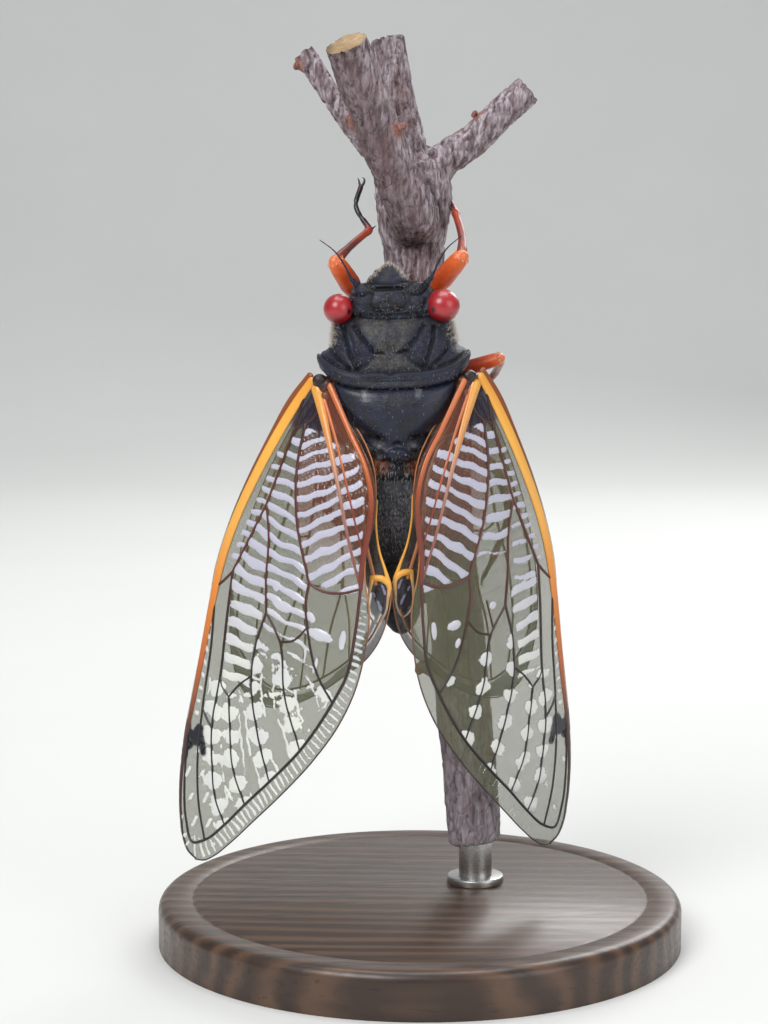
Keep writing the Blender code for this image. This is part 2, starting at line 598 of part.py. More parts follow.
def make_thorax(cicada, head, eyes):
    """The pronotum with its collar, the mesonotum, metanotum, underside and wing hinges."""
    back = [
        (HEAD_REAR - 0.2, 3.6, -2.5, 2.6, 2.6),
        (3.1, 4.15, -2.75, 2.9, 2.6),
        (2.5, 4.35, -2.95, 3.0, 2.6),
        (1.9, 4.5, -3.1, 3.0, 2.6),
        (1.3, 4.6, -3.25, 3.0, 2.5),
        (0.7, 4.7, -3.35, 3.0, 2.5),
        (COLLAR_GROOVE + 0.15, 4.85, -3.4, 3.0, 2.5),
        (COLLAR_GROOVE - 0.15, 5.2, -3.5, 2.9, 2.4),
        (-0.4, COLLAR_HALF_WIDTH, -3.75, 2.8, 2.4),
        (-0.8, COLLAR_HALF_WIDTH - 0.1, -3.8, 2.7, 2.4),
        (COLLAR_REAR, COLLAR_HALF_WIDTH - 0.4, -3.75, 2.6, 2.4),
    ]
    bm = keep_side(loft(finer(back, 0.4), 40, collar_bend, pronotum_relief), (0, SPLIT_LEVEL, 0), (0, 1, 0))
    pronotum = object_from("pronotum", bm, "shell", cicada)
    cut_clear(pronotum, *eyes)
    scutum = [
        (COLLAR_REAR - GAP, SCUTUM_HALF_WIDTH, -3.7, 2.4, 2.6),
        (-1.9, SCUTUM_HALF_WIDTH - 0.25, -4.0, 2.4, 2.5),
        (-2.5, 4.05, -4.15, 2.4, 2.4),
        (-3.2, 3.7, SCUTUM_TOP, 2.4, 2.3),
        (-3.9, 3.3, -4.15, 2.4, 2.2),
        (-4.5, 2.95, -4.0, 2.4, 2.2),
        (-5.0, 2.6, -3.85, 2.4, 2.2),
        (-5.4, 2.3, -3.7, 2.4, 2.2),
        (-5.8, 2.0, -3.55, 2.4, 2.2),
        (SCUTUM_REAR, 1.6, -3.35, 2.4, 2.2),
    ]
    bm = keep_side(loft(finer(scutum, 0.34), 42, scutum_bend, scutum_relief), (0, SPLIT_LEVEL, 0), (0, 1, 0))
    mesonotum = object_from("mesonotum", bm, "shell", cicada)
    rear = [
        (SCUTUM_REAR - GAP, 3.2, -2.9, 2.4, 2.2),
        (-6.9, 3.5, -2.95, 2.4, 2.2),
        (METANOTUM_REAR, 3.6, -2.75, 2.4, 2.2),
    ]
    bm = keep_side(loft(rear, 28), (0, SPLIT_LEVEL, 0), (0, 1, 0))
    metanotum = object_from("metanotum", bm, "shell", cicada)
    under = [
        (HEAD_REAR - 0.3, 2.6, -1.0, 2.6, 2.4),
        (2.4, 3.6, -1.0, BELLY_LEVEL, 2.4),
        (0.6, 4.1, -1.0, BELLY_LEVEL, 2.4),
        (-2.0, 4.2, -1.0, BELLY_LEVEL + 0.1, 2.4),
        (-5.0, 3.9, -1.0, BELLY_LEVEL, 2.4),
        (METANOTUM_REAR + 0.1, 3.2, -1.0, 2.5, 2.4),
    ]
    bm = keep_side(loft(under, 28), (0, SPLIT_LEVEL + GAP, 0), (0, -1, 0))
    underside = object_from("thorax_underside", bm, "shell", cicada)
    plates = [ball((out * 1.75, 2.75, -8.0), (1.45, 0.5, 1.5), 8, 14) for out in SIDES.values()]
    underside = combine(underside, [object_from("operculum", plate, "shell", cicada) for plate in plates], "UNION")
    cut_clear(underside, head)
    hinges = {}
    for side, out in SIDES.items():
        line = smooth_line([(out * 3.7, -1.3, -1.3), (out * 4.8, -1.6, -1.0), (out * 5.5, -1.7, -0.6)], 0.5)
        knob = tube(line, tapered_radii([(0, 0.8), (0.6, 0.9), (0.85, 0.75), (1, 0.45)], len(line)), 12)
        hinge = object_from(f"wing_hinge_{side}", knob, "shell", cicada)
        cut_clear(hinge, mesonotum, pronotum)
        hinges[side] = hinge
    return pronotum, mesonotum, metanotum, underside, hinges


def make_abdomen(cicada, underside):
    """Eight overlapping rings that narrow to the tail, and the tail cone."""
    front, rear = METANOTUM_REAR - GAP, -17.6
    sections = []
    for k in range(TERGITES):
        z0 = front + (rear - front) * k / TERGITES
        z1 = front + (rear - front) * (k + 1) / TERGITES
        for z, swell in ((z0, 0.955), (z0 * 0.75 + z1 * 0.25, 0.99), (z1 + 0.12, 1.0)):
            u = (z - front) / (rear - front)
            girth = (1 - 0.62 * u ** 2.2) * (0.9 + 0.1 * smoothstep(0, 0.15, u))
            sections.append((
                z, ABDOMEN_HALF_WIDTH * girth * swell, -2.85 * girth * swell, 2.6 * girth * swell + 0.1, 2.15,
            ))
    abdomen = object_from("abdomen", loft(sections, 24), "shell", cicada)
    cut_clear(abdomen, underside)
    tail = object_from("abdomen_tip", loft([
        (rear - GAP, 1.45, -0.95, 1.1, 2.1),
        (-18.4, 1.3, -0.75, 1.15, 2.1),
        (-19.1, 0.85, -0.35, 0.95, 2.0),
        (ABDOMEN_TIP, 0.35, 0.1, 0.65, 2.0),
    ], 18), "shell", cicada)
    return abdomen, tail


def make_leg(name, joints, girth, cicada, clear_of, spines, shank_spines=()):
    """A leg in two nodes: hip to knee, then shank with foot and claws."""
    hip, bend, knee, shank_mid, ankle, claw = (Vector(p) for p in joints)
    line = smooth_line([hip, bend, (bend + knee) / 2, knee], 0.7)
    thigh_radii = tapered_radii([(0, 0.75), (0.3, 0.6), (0.42, 0.62), (0.62, girth), (0.85, girth * 0.8), (1, 0.5)], len(line))
    pieces = [tube(line, thigh_radii, 9)]
    spine_way = ((shank_mid - knee) - (knee - bend)).normalized()
    for share, length in spines:
        root = bend + (knee - bend) * share
        pieces.append(cone(root, root + spine_way * (girth + length), 0.26, 5))
    thigh = join_pieces(f"{name}_femur", pieces, "leg", cicada)
    cut_clear(thigh, *clear_of)
    start = knee + (shank_mid - knee).normalized() * 0.5
    line = smooth_line([start, shank_mid, ankle], 0.9)
    line += smooth_line([ankle, (ankle + claw) / 2, claw], 0.6)[1:]
    radii = tapered_radii([(0, 0.42), (0.25, 0.36), (0.7, 0.32), (0.85, 0.27), (1, 0.25)], len(line))
    pieces = [tube(line, radii, 7)]
    hook = (claw - ankle).normalized()
    across = (knee - bend).cross(ankle - shank_mid).normalized()
    for turn in (-1, 1):
        pieces.append(cone(claw - hook * 0.2, claw + hook * 0.55 + across * 0.4 * turn, 0.2, 5))
    for share in shank_spines:
        root = shank_mid + (ankle - shank_mid) * share
        for turn in (-1, 1):
            pieces.append(cone(root, root + across * 0.7 * turn + hook * 0.3, 0.18, 4))
    shank = join_pieces(f"{name}_tibia", pieces, "leg", cicada)
    cut_clear(shank, thigh, *clear_of)
    return thigh, shank


def make_twig():
    """The cut twig: a straight stem swollen at its fork, three short stubs and its buds."""
    place = Matrix.Translation(CICADA_PLACE)
    foot, fork = place @ Vector((6.4, 7.8, 0)), place @ Vector((1.5, 7.4, 13.8))
    foot.z = TWIG_FOOT_HEIGHT
    line = smooth_line([foot, foot + (fork - foot) * 0.5, fork - UP * 5.5, fork - UP * 2.0, fork, fork + UP * 1.6], 3.0)
    radii = tapered_radii([(0, 2.15), (0.5, 2.1), (0.83, 2.2), (0.9, 2.6), (0.95, 3.05), (0.98, 3.1), (1, 2.2)], len(line))
    draw = random.Random(4)
    pieces = [tube(line, [r * (1 + draw.uniform(-0.03, 0.03)) for r in radii], 14)]
    for share, turn in ((0.27, 185), (0.8, 40)):
        centre = foot + (fork - foot) * share
        out = Vector((math.cos(math.radians(turn)), math.sin(math.radians(turn)), 0))
        pieces.append(cone(centre + out * 1.2, centre + out * 3.1 + UP * 0.3, 1.0, 7, BUD_RADIUS * 0.6))
    stem = join_pieces("twig_stem", pieces, "bark")
    stubs = []
    for name, start, reach, thick in (
        ("left", (-0.5, -0.9, -1.6), (-5.2, -6.0, 9.8), 1.75),
        ("back", (0, 0, 0), (-2.0, 2.0, 10.6), 1.4),
        ("right", (0.6, 0, 0.4), (8.6, 0.6, 6.8), 1.3),
        ("thin", (-1.2, 0.8, 0), (-8.4, 2.4, 9.6), 0.95),
    ):
        root, tip = fork + Vector(start), fork + Vector(reach)
        line = smooth_line([root, root.lerp(tip, 0.45) - UP * 0.4, tip], 3.0)
        radii = tapered_radii([(0, thick * 1.2), (0.35, thick), (1, thick * 0.95)], len(line))
        stub = object_from(f"twig_stub_{name}", tube(line, radii, 12), "bark")
        cut_clear(stub, stem, *stubs)
        stubs.append(stub)
    return stem, stubs, foot


def make_stand(foot):
    """A round base and the short rod under the twig's cut end."""
    base = bmesh.new()
    bmesh.ops.create_cone(
        base, cap_ends=True, segments=56, radius1=BASE_RADIUS, radius2=BASE_RADIUS, depth=BASE_THICKNESS
    )
    bmesh.ops.translate(base, vec=(0, 0, BASE_THICKNESS / 2), verts=base.verts)
    rim = [e for e in base.edges if all(v.co.z > BASE_THICKNESS - 0.1 for v in e.verts)]
    bmesh.ops.bevel(base, geom=rim, offset=BASE_EDGE, segments=2, affect="EDGES", profile=0.5)
    object_from("stand_base", base, "wood")
    rod = bmesh.new()
    bottom, top = BASE_THICKNESS + GAP, TWIG_FOOT_HEIGHT - GAP
    bmesh.ops.create_cone(rod, cap_ends=True, segments=24, radius1=ROD_RADIUS, radius2=ROD_RADIUS, depth=top - bottom)
    bmesh.ops.translate(rod, vec=(foot.x, foot.y, (top + bottom) / 2), verts=rod.verts)
    object_from("stand_rod", rod, "rod")


def make_cicada(twig):
    cicada = bpy.data.objects.new("cicada_frame", None)
    bpy.context.scene.collection.objects.link(cicada)
    cicada.location = Vector(CICADA_PLACE) * MM
    cicada.rotation_euler = (0, math.radians(CICADA_LEAN_DEG), 0)
    head, face, eyes = make_head(cicada)
    pronotum, mesonotum, metanotum, underside, hinges = make_thorax(cicada, head, eyes)
    abdomen, tail = make_abdomen(cicada, underside)
    body = [head, face, pronotum, underside]
    for side in SIDES:
        margin = COSTAL_MARGIN + OUTER_MARGIN[1:] + CLAVUS_MARGIN[1:]
        forewing = make_wing(f"forewing_{side}", side, margin, FOREWING_VEINS, 0, "wing", cicada)
        cut_clear(forewing, hinges[side])
        hindwing = make_wing(
            f"hindwing_{side}", side, HINDWING_MARGIN, HINDWING_VEINS, WING_LAYER_STEP, "hindwing", cicada
        )
        cut_clear(hindwing, hinges[side], mesonotum, pronotum)
        make_leg(f"leg_front_{side}", FRONT_LEGS[side], 0.85, cicada, body + twig + eyes, [(0.45, 0.5), (0.75, 0.35)])
        make_leg(f"leg_middle_{side}", MIDDLE_LEGS[side], 0.62, cicada, [underside, *twig], [])
        make_leg(f"leg_hind_{side}", HIND_LEGS[side], 0.6, cicada, [underside, abdomen, *twig], [], (0.3, 0.7))


def main():
    clear_scene()
    stem, stubs, foot = make_twig()
    make_stand(foot)
    make_cicada([stem, *stubs])
    for obj in bpy.data.objects:
        if obj.type == "MESH":
            obj.data.shade_smooth()
            obj.data.set_sharp_from_angle(angle=math.radians(35))


main()
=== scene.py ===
import math
import random

import bmesh
import bpy
import numpy as np
from mathutils import Matrix, Vector, noise


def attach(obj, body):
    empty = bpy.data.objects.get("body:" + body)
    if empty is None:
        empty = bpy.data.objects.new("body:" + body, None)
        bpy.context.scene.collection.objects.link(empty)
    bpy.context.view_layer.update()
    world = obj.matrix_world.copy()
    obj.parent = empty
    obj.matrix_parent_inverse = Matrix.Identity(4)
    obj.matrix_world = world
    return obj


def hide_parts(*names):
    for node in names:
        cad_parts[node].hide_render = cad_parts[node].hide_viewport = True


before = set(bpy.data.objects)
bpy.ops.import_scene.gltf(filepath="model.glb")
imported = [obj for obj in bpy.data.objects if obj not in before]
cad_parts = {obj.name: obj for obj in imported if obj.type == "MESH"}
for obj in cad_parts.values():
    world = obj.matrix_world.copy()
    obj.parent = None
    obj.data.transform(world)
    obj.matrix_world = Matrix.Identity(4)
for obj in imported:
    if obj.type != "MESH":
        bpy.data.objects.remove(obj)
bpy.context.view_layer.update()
print("frame loaded")

# Pieces are shaped in millimetres and turned into metres as they are placed
insect = {"place": (-2.0, -4.5, 44.0), "leanDeg": -1.6, "midline": -0.3}
sides = {"left": -1, "right": 1}
toMetres = Matrix.Scale(0.001, 4)
insectLean = Matrix.Rotation(math.radians(insect["leanDeg"]), 4, "Y")
insectPlace = toMetres @ Matrix.Translation(insect["place"]) @ insectLean
wingReach = 40.0  # mm that the wing's map and a vein's colours run over
shellMarks, veinMarks, legMarks, barkMarks = (
    ("dust", "groove", "warm"), ("span", "outer", "groove"), ("tone", "pale"), ("groove", "warm", "brown"))


# ---- shaping helpers ----

def smoothPath(points, count, by=3):  # evenly spaced points on a smooth curve through the given ones
    p = np.array(points, float)
    gaps = np.linalg.norm(np.diff(p[:, :by], axis=0), axis=1)
    u = np.concatenate([[0], np.cumsum(gaps)])
    slopes = np.gradient(p, u, axis=0)
    at = np.linspace(0, u[-1], count)
    i = np.clip(np.searchsorted(u, at, side="right") - 1, 0, len(u) - 2)
    h = (u[i + 1] - u[i])[:, None]
    f = (at - u[i])[:, None] / h
    return (
        (1 + 2 * f) * (1 - f) ** 2 * p[i] + f * (1 - f) ** 2 * h * slopes[i]
        + f * f * (3 - 2 * f) * p[i + 1] + f * f * (f - 1) * h * slopes[i + 1]
    )


def rise(low, high, value):  # 0 below low, 1 above high, smooth between
    u = np.clip((value - low) / (high - low), 0, 1)
    return u * u * (3 - 2 * u)


def nearestOn(a, b, line):  # distance of flat points (a, b) to a polyline, and how far along it
    line = np.array(line, float)
    best, station, run = np.full(np.shape(a), 1e9), np.zeros(np.shape(a)), 0.0
    for (a0, b0), (a1, b1) in zip(line[:-1, :2], line[1:, :2]):
        da, db = a1 - a0, b1 - b0
        length = math.hypot(da, db) + 1e-9
        u = np.clip(((a - a0) * da + (b - b0) * db) / length ** 2, 0, 1)
        gap = np.hypot(a - a0 - u * da, b - b0 - u * db)
        station = np.where(gap < best, run + u * length, station)
        best = np.minimum(best, gap)
        run += length
    return best, station


def lineGap(a, b, line):
    return nearestOn(a, b, line)[0]


def taper(count, shares, values):  # values at evenly spaced points of a path
    return np.interp(np.linspace(0, 1, count), shares, values)


def crease(gap, width):  # a soft groove profile, 1 on the line
    return np.exp(-(gap / width) ** 2)


def newMesh(*marks):
    bm = bmesh.new()
    for mark in ("turn", *marks):
        bm.verts.layers.float.new(mark)
    return bm


def ringEdges(ring):
    members = set(ring)
    return list({e for v in ring for e in v.link_edges if e.other_vert(v) in members})


def startRing(bm, count):
    turn = bm.verts.layers.float["turn"]
    ring = bmesh.ops.create_circle(bm, segments=count, radius=1)["verts"]
    for k, vert in enumerate(ring):
        vert[turn] = math.tau * k / count
    return ring


def nextRing(bm, ring):
    made = bmesh.ops.extrude_edge_only(bm, edges=ringEdges(ring))["geom"]
    return [g for g in made if isinstance(g, bmesh.types.BMVert)]


def closeRing(bm, ring):
    caps = bmesh.ops.holes_fill(bm, edges=ringEdges(ring), sides=0)["faces"]
    bmesh.ops.poke(bm, faces=caps)


def sweep(bm, path, radii, count=12, ups=None, flat=1.0, marks=None, roundEnds=(True, True)):
    # a tube along a path: flat squeezes it along ups, marks are values for each point of the path
    path = [Vector(p) for p in path]
    radii = [float(r) for r in radii]
    marks = {name: [float(v) for v in values] for name, values in (marks or {}).items()}
    ups = [Vector(u) for u in ups] if ups is not None else None
    for end, rounded in ((0, roundEnds[0]), (-1, roundEnds[1])):
        if not rounded:
            continue
        away = (path[0] - path[1] if end == 0 else path[-1] - path[-2]).normalized()
        centre, radius = path[end].copy(), radii[end]
        for angle in (0.5, 1.0, 1.4):
            values = [(path, centre + away * radius * 0.8 * math.sin(angle)), (radii, radius * math.cos(angle))]
            values += [(row, row[end]) for row in marks.values()] + ([(ups, ups[end])] if ups else [])
            for row, value in values:
                row.insert(0, value) if end == 0 else row.append(value)
    turn = bm.verts.layers.float["turn"]
    layers = {name: bm.verts.layers.float[name] for name in marks}
    across, ring = (path[1] - path[0]).orthogonal().normalized(), None
    for i, centre in enumerate(path):
        ring = startRing(bm, count) if ring is None else nextRing(bm, ring)
        first, last = path[max(i - 1, 0)], path[min(i + 1, len(path) - 1)]
        forward = (last - first).normalized()
        if ups:
            across = forward.cross(ups[i]).normalized()
        else:
            across = (across - forward * across.dot(forward)).normalized()
        other = across.cross(forward)
        for vert in ring:
            c, s = math.cos(vert[turn]), math.sin(vert[turn])
            vert.co = centre + radii[i] * (across * c + other * s * flat)
            for name, layer in layers.items():
                vert[layer] = marks[name][i]
        if i == 0:
            closeRing(bm, ring)
    closeRing(bm, ring)


def loft(bm, sections, rings, count, bend=None):
    # a closed body through sections of z, half width, back level, belly level and fullness
    turn = bm.verts.layers.float["turn"]
    ring = None
    for z, half, top, bottom, power in smoothPath(sections, rings, 1).tolist():
        isFirst = ring is None
        ring = startRing(bm, count) if isFirst else nextRing(bm, ring)
        level, depth = (top + bottom) / 2, (bottom - top) / 2
        for vert in ring:
            c, s = math.cos(vert[turn]), math.sin(vert[turn])
            x = math.copysign(abs(c) ** (2 / power), c) * half
            y = math.copysign(abs(s) ** (2 / power), s) * depth + level
            vert.co = (x, y, z + (bend(x, y, z) if bend else 0))
        if isFirst:
            closeRing(bm, ring)
    closeRing(bm, ring)


def sculpt(bm, shape, below=1e9):
    # shape takes coordinate arrays and gives the depth to press in and the values of each mark
    bmesh.ops.recalc_face_normals(bm, faces=bm.faces)
    bm.normal_update()
    verts = [v for v in bm.verts if v.co.y < below]
    x, y, z = np.array([v.co for v in verts]).T
    depth, marks = shape(x, y, z)
    layers = {name: bm.verts.layers.float[name] for name in marks}
    for k, vert in enumerate(verts):
        vert.co -= vert.normal * float(depth[k])
        for name, layer in layers.items():
            vert[layer] = float(marks[name][k])


def ball(bm, centre, radii, rings=10, count=16, marks=None):
    made = bmesh.ops.create_uvsphere(bm, u_segments=count, v_segments=rings, radius=1)["verts"]
    bmesh.ops.scale(bm, vec=radii, verts=made)
    bmesh.ops.translate(bm, vec=centre, verts=made)
    for name, value in (marks or {}).items():
        for vert in made:
            vert[bm.verts.layers.float[name]] = value


def toMesh(name, bm):
    mesh = bpy.data.meshes.new(name)
    bm.to_mesh(mesh)
    bm.free()
    return mesh


def newObject(name, mesh, finish=None):
    mesh.shade_smooth()
    if finish:
        mesh.materials.append(finish)
    made = bpy.data.objects.new(name, mesh)
    bpy.context.scene.collection.objects.link(made)
    return made


def addPiece(name, bm, finish, replaces=(), place=insectPlace, finer=0, turnOut=True):
    if turnOut:
        bmesh.ops.recalc_face_normals(bm, faces=bm.faces)
    bm.transform(place)
    piece = newObject(name, toMesh(name, bm), finish)
    if finer:
        more = piece.modifiers.new("finer", "SUBSURF")
        more.levels = more.render_levels = finer
    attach(piece, "root")
    if replaces:
        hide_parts(*replaces)
    return piece


def shellPlate(name, cadNode, plate, finish, relief, bend=None, below=1e9, knobs=(), shift=0.0):
    # a lofted and sculpted plate of the body, with round knobs on it; gives back its skin for the hairs
    bm = newMesh(*shellMarks)
    loft(bm, plate["sections"], plate["rings"], plate["count"], bend)
    bmesh.ops.translate(bm, vec=(shift, 0, 0), verts=bm.verts)
    sculpt(bm, relief, below)
    for knob in knobs:
        ball(bm, *knob)
    skin = bm.copy()
    addPiece(name, bm, finish, (cadNode,), finer=1)
    return skin


# ---- material helpers ----

def startMaterial(name):
    material = bpy.data.materials.new(name)
    material.use_nodes = True
    return material, material.node_tree


def setSockets(tree, made, values):  # a node's output is linked, and a number goes on the socket itself
    for key, value in values.items():
        if isinstance(value, bpy.types.NodeSocket):
            tree.links.new(value, made.inputs[key])
        else:
            made.inputs[key].default_value = value


def node(tree, kind, inputs=None, **settings):
    made = tree.nodes.new("ShaderNode" + kind)
    for key, value in settings.items():
        setattr(made, key, value)
    setSockets(tree, made, inputs or {})
    return made


def finished(material, sockets, bumps=()):  # bumps of (height, strength, depth in mm), coarse first
    tree = material.node_tree
    shader = tree.nodes["Principled BSDF"]
    setSockets(tree, shader, sockets)
    normal = None
    for height, strength, depth in bumps:
        inputs = {"Height": height, "Strength": strength, "Distance": depth * 0.001}
        if normal:
            inputs["Normal"] = normal
        normal = node(tree, "Bump", inputs).outputs[0]
    if normal:
        tree.links.new(normal, shader.inputs["Normal"])
    return material


def inMillimetres(tree, stretch=(1, 1, 1), turn=(0, 0, 0)):
    place = node(tree, "TexCoord").outputs["Object"]
    return node(tree, "Mapping", {"Vector": place, "Scale": [1000 * v for v in stretch], "Rotation": turn}).outputs[0]


def mark(tree, name):
    return node(tree, "Attribute", attribute_name=name).outputs["Fac"]


def clouds(tree, at, scale, detail=3, roughness=0.55, distortion=0.0):
    return node(tree, "TexNoise", {
        "Vector": at, "Scale": scale, "Detail": detail, "Roughness": roughness, "Distortion": distortion}).outputs[0]


def cells(tree, at, scale, feature="F1"):
    return node(tree, "TexVoronoi", {"Vector": at, "Scale": scale}, feature=feature).outputs["Distance"]


def between(tree, value, low, high, first=0.0, last=1.0):
    return node(tree, "MapRange", {
        "Value": value, "From Min": low, "From Max": high, "To Min": first, "To Max": last}).outputs[0]


def maths(tree, operation, a, b=0.0):
    return node(tree, "Math", {0: a, 1: b}, operation=operation).outputs[0]


def mixed(tree, share, a, b, blend="MIX"):
    pick = lambda c: (*c, 1) if isinstance(c, tuple) and len(c) == 3 else c
    return node(tree, "Mix", {0: share, 6: pick(a), 7: pick(b)}, data_type="RGBA", blend_type=blend).outputs[2]


def ramp(tree, value, stops):
    made = node(tree, "ValToRGB", {0: value})
    line = made.color_ramp
    while len(line.elements) < len(stops):
        line.elements.new(0.5)
    for element, (place, colour) in zip(line.elements, stops):
        element.position, element.color = place, (*colour, 1)
    return made.outputs[0]


def shellFinish(name, look):
    material, tree = startMaterial(name)
    at = inMillimetres(tree)
    broad, fine, grain = clouds(tree, at, 0.9, 4), clouds(tree, at, 9.0, 3), clouds(tree, at, 34.0, 2)
    colour = mixed(tree, between(tree, broad, 0.35, 0.68), look["dark"], look["light"])
    # the pale dust mark also carries painted highlights on the middle shield
    dustAndHighlightShare = maths(tree, "MULTIPLY", mark(tree, "dust"), between(tree, fine, 0.3, 0.62, 0.2, 1.0))
    dustAndHighlightShare = maths(tree, "MULTIPLY", dustAndHighlightShare, between(tree, clouds(tree, at, 2.4, 4, 0.65), 0.36, 0.6, 0.35, 1.0))
    colour = mixed(tree, dustAndHighlightShare, colour, mixed(tree, broad, look["dust"], look["dustPale"]))
    colour = mixed(tree, mark(tree, "warm"), colour, mixed(tree, fine, look["warm"], look["warmDeep"]))
    specks = between(tree, cells(tree, at, 4.2), 0.11, 0.05)
    colour = mixed(tree, maths(tree, "MULTIPLY", specks, look["specks"]), colour, (0.55, 0.56, 0.6))
    colour = mixed(tree, mark(tree, "groove"), colour, (0.003, 0.003, 0.004))
    rough = maths(tree, "ADD", between(tree, broad, 0.3, 0.7, *look["rough"]),
                  maths(tree, "MULTIPLY", mark(tree, "dust"), 0.3))
    rugged, bump = clouds(tree, at, 2.6, 4, 0.6, 0.6), look["bump"]
    return finished(material, {
        "Base Color": colour, "Roughness": rough, "Coat Weight": look["coat"], "Coat Roughness": 0.22,
        "Specular IOR Level": 0.38,
    }, [(rugged, bump, 0.3), (fine, bump, 0.14), (cells(tree, at, 11.0), bump * 0.8, 0.06), (grain, bump, 0.03)])


shellLooks = {
    "back": {"dark": (0.003, 0.004, 0.009), "light": (0.010, 0.015, 0.043), "dust": (0.065, 0.060, 0.055),
             "dustPale": (0.17, 0.16, 0.14),
             "warm": (0.50, 0.16, 0.035), "warmDeep": (0.16, 0.03, 0.012), "specks": 0.35, "rough": (0.34, 0.52),
             "coat": 0.1, "bump": 0.7},
    "shield": {"dark": (0.002, 0.003, 0.009), "light": (0.006, 0.010, 0.035), "dust": (0.20, 0.20, 0.22),
               "dustPale": (0.42, 0.42, 0.44),
               "warm": (0.55, 0.16, 0.03), "warmDeep": (0.16, 0.03, 0.012), "specks": 0.3, "rough": (0.26, 0.42),
               "coat": 0.3, "bump": 0.3},
    "abdomen": {"dark": (0.007, 0.007, 0.009), "light": (0.02, 0.02, 0.024), "dust": (0.10, 0.10, 0.11),
                "dustPale": (0.20, 0.20, 0.22),
                "warm": (0.45, 0.15, 0.03), "warmDeep": (0.14, 0.03, 0.01), "specks": 0.2, "rough": (0.4, 0.6),
                "coat": 0.15, "bump": 0.5},
}
backFinish = shellFinish("blueBlackShell", shellLooks["back"])
shieldFinish = shellFinish("glossyShieldShell", shellLooks["shield"])
abdomenFinish = shellFinish("greyDownShell", shellLooks["abdomen"])


def eyeFinish(name, pupil):
    material, tree = startMaterial(name)
    at = inMillimetres(tree)
    broad = clouds(tree, at, 0.8, 2)
    facets = cells(tree, at, 13.0)
    colour = mixed(tree, between(tree, broad, 0.3, 0.7), (0.31, 0.007, 0.010), (0.44, 0.020, 0.028))
    # painted shade: each eye darkens towards its lower part
    height = node(tree, "SeparateXYZ", {0: at}).outputs["Z"]
    colour = mixed(tree, between(tree, height, pupil[2] - 0.1, pupil[2] - 0.95), colour, (0.14, 0.003, 0.005))
    gap = node(tree, "VectorMath", {0: at, 1: pupil}, operation="DISTANCE").outputs["Value"]
    colour = mixed(tree, between(tree, gap, 0.30, 0.12), colour, (0.01, 0.002, 0.004))
    return finished(material, {
        "Base Color": colour, "Roughness": 0.3, "Coat Weight": 0.5, "Coat Roughness": 0.3}, [(facets, 0.25, 0.02)])


def legFinish():
    material, tree = startMaterial("legSkin")
    at = inMillimetres(tree)
    broad, fine = clouds(tree, at, 1.6, 3), clouds(tree, at, 14.0, 3)
    tone = maths(tree, "ADD", mark(tree, "tone"), between(tree, broad, 0.3, 0.7, -0.08, 0.1))
    colour = ramp(tree, tone, [(0.0, (0.76, 0.12, 0.006)), (0.3, (0.44, 0.046, 0.010)), (0.6, (0.16, 0.028, 0.018)),
                               (1.0, (0.010, 0.009, 0.012))])
    colour = mixed(tree, mark(tree, "pale"), colour, (0.86, 0.50, 0.30))
    colour = mixed(tree, between(tree, fine, 0.62, 0.78, 0.0, 0.35), colour, (0.95, 0.62, 0.4))
    rough = between(tree, fine, 0.3, 0.7, 0.28, 0.5)
    return finished(material, {"Base Color": colour, "Roughness": rough, "Coat Weight": 0.25},
                    [(broad, 0.3, 0.12), (fine, 0.4, 0.04)])


def veinFinish(name, stops, rough=0.35):  # stops along the span, in mm
    material, tree = startMaterial(name)
    at = inMillimetres(tree)
    fine = clouds(tree, at, 7.0, 3)
    uneven = maths(tree, "ADD", mark(tree, "span"), between(tree, fine, 0.3, 0.7, -0.8, 0.8))
    colour = ramp(tree, between(tree, uneven, 0, wingReach), [(s / wingReach, c) for s, c in stops])
    colour = mixed(tree, mark(tree, "outer"), colour, (0.26, 0.075, 0.02))
    colour = mixed(tree, mark(tree, "groove"), colour, (0.02, 0.008, 0.006))
    return finished(material, {"Base Color": colour, "Roughness": rough, "Coat Weight": 0.3}, [(fine, 0.3, 0.04)])


def membraneFinish(name, look):
    material, tree = startMaterial(name)
    flat = node(tree, "UVMap", uv_map="wingMap").outputs[0]
    at = node(tree, "Mapping", {"Vector": flat, "Scale": [wingReach] * 3}).outputs[0]  # millimetres of span and chord
    broad, fine = clouds(tree, at, 0.45, 3), clouds(tree, at, 5.0, 3)
    # painted reflections: white bars and patches, lavender towards the root, drawn more opaque than the clear membrane
    ragged = maths(tree, "ADD", mark(tree, "white"), between(tree, fine, 0.3, 0.7, -0.16, 0.16))
    white = between(tree, ragged, -0.05, 0.12)
    colour = mixed(tree, between(tree, broad, 0.35, 0.65), look["clear"], look["clearDeep"])
    colour = mixed(tree, mark(tree, "warm"), colour, look["warm"])
    colour = mixed(tree, mark(tree, "smoke"), colour, look["smoke"])
    span = node(tree, "SeparateXYZ", {0: at}).outputs["X"]
    reflectionColour = mixed(tree, between(tree, span, 14, 23), look["whiteDeep"], look["white"])
    reflectionColour = mixed(tree, between(tree, broad, 0.35, 0.7, 0.0, 0.4), reflectionColour, look["whiteDeep"])
    colour = mixed(tree, white, colour, reflectionColour)
    colour = mixed(tree, mark(tree, "spot"), colour, (0.004, 0.004, 0.012))
    bare, painted = look["cover"]
    cover = maths(tree, "ADD", maths(tree, "MULTIPLY", white, painted - bare), bare)
    for area, most in (("warm", 0.68), ("smoke", 0.72), ("spot", 0.97)):
        cover = maths(tree, "MAXIMUM", cover, maths(tree, "MULTIPLY", mark(tree, area), most))
    return finished(material, {
        "Base Color": colour, "Alpha": cover, "Roughness": 0.16, "Specular IOR Level": 0.65,
    }, [(mark(tree, "ripple"), 0.5, 0.15), (fine, 0.15, 0.02)])


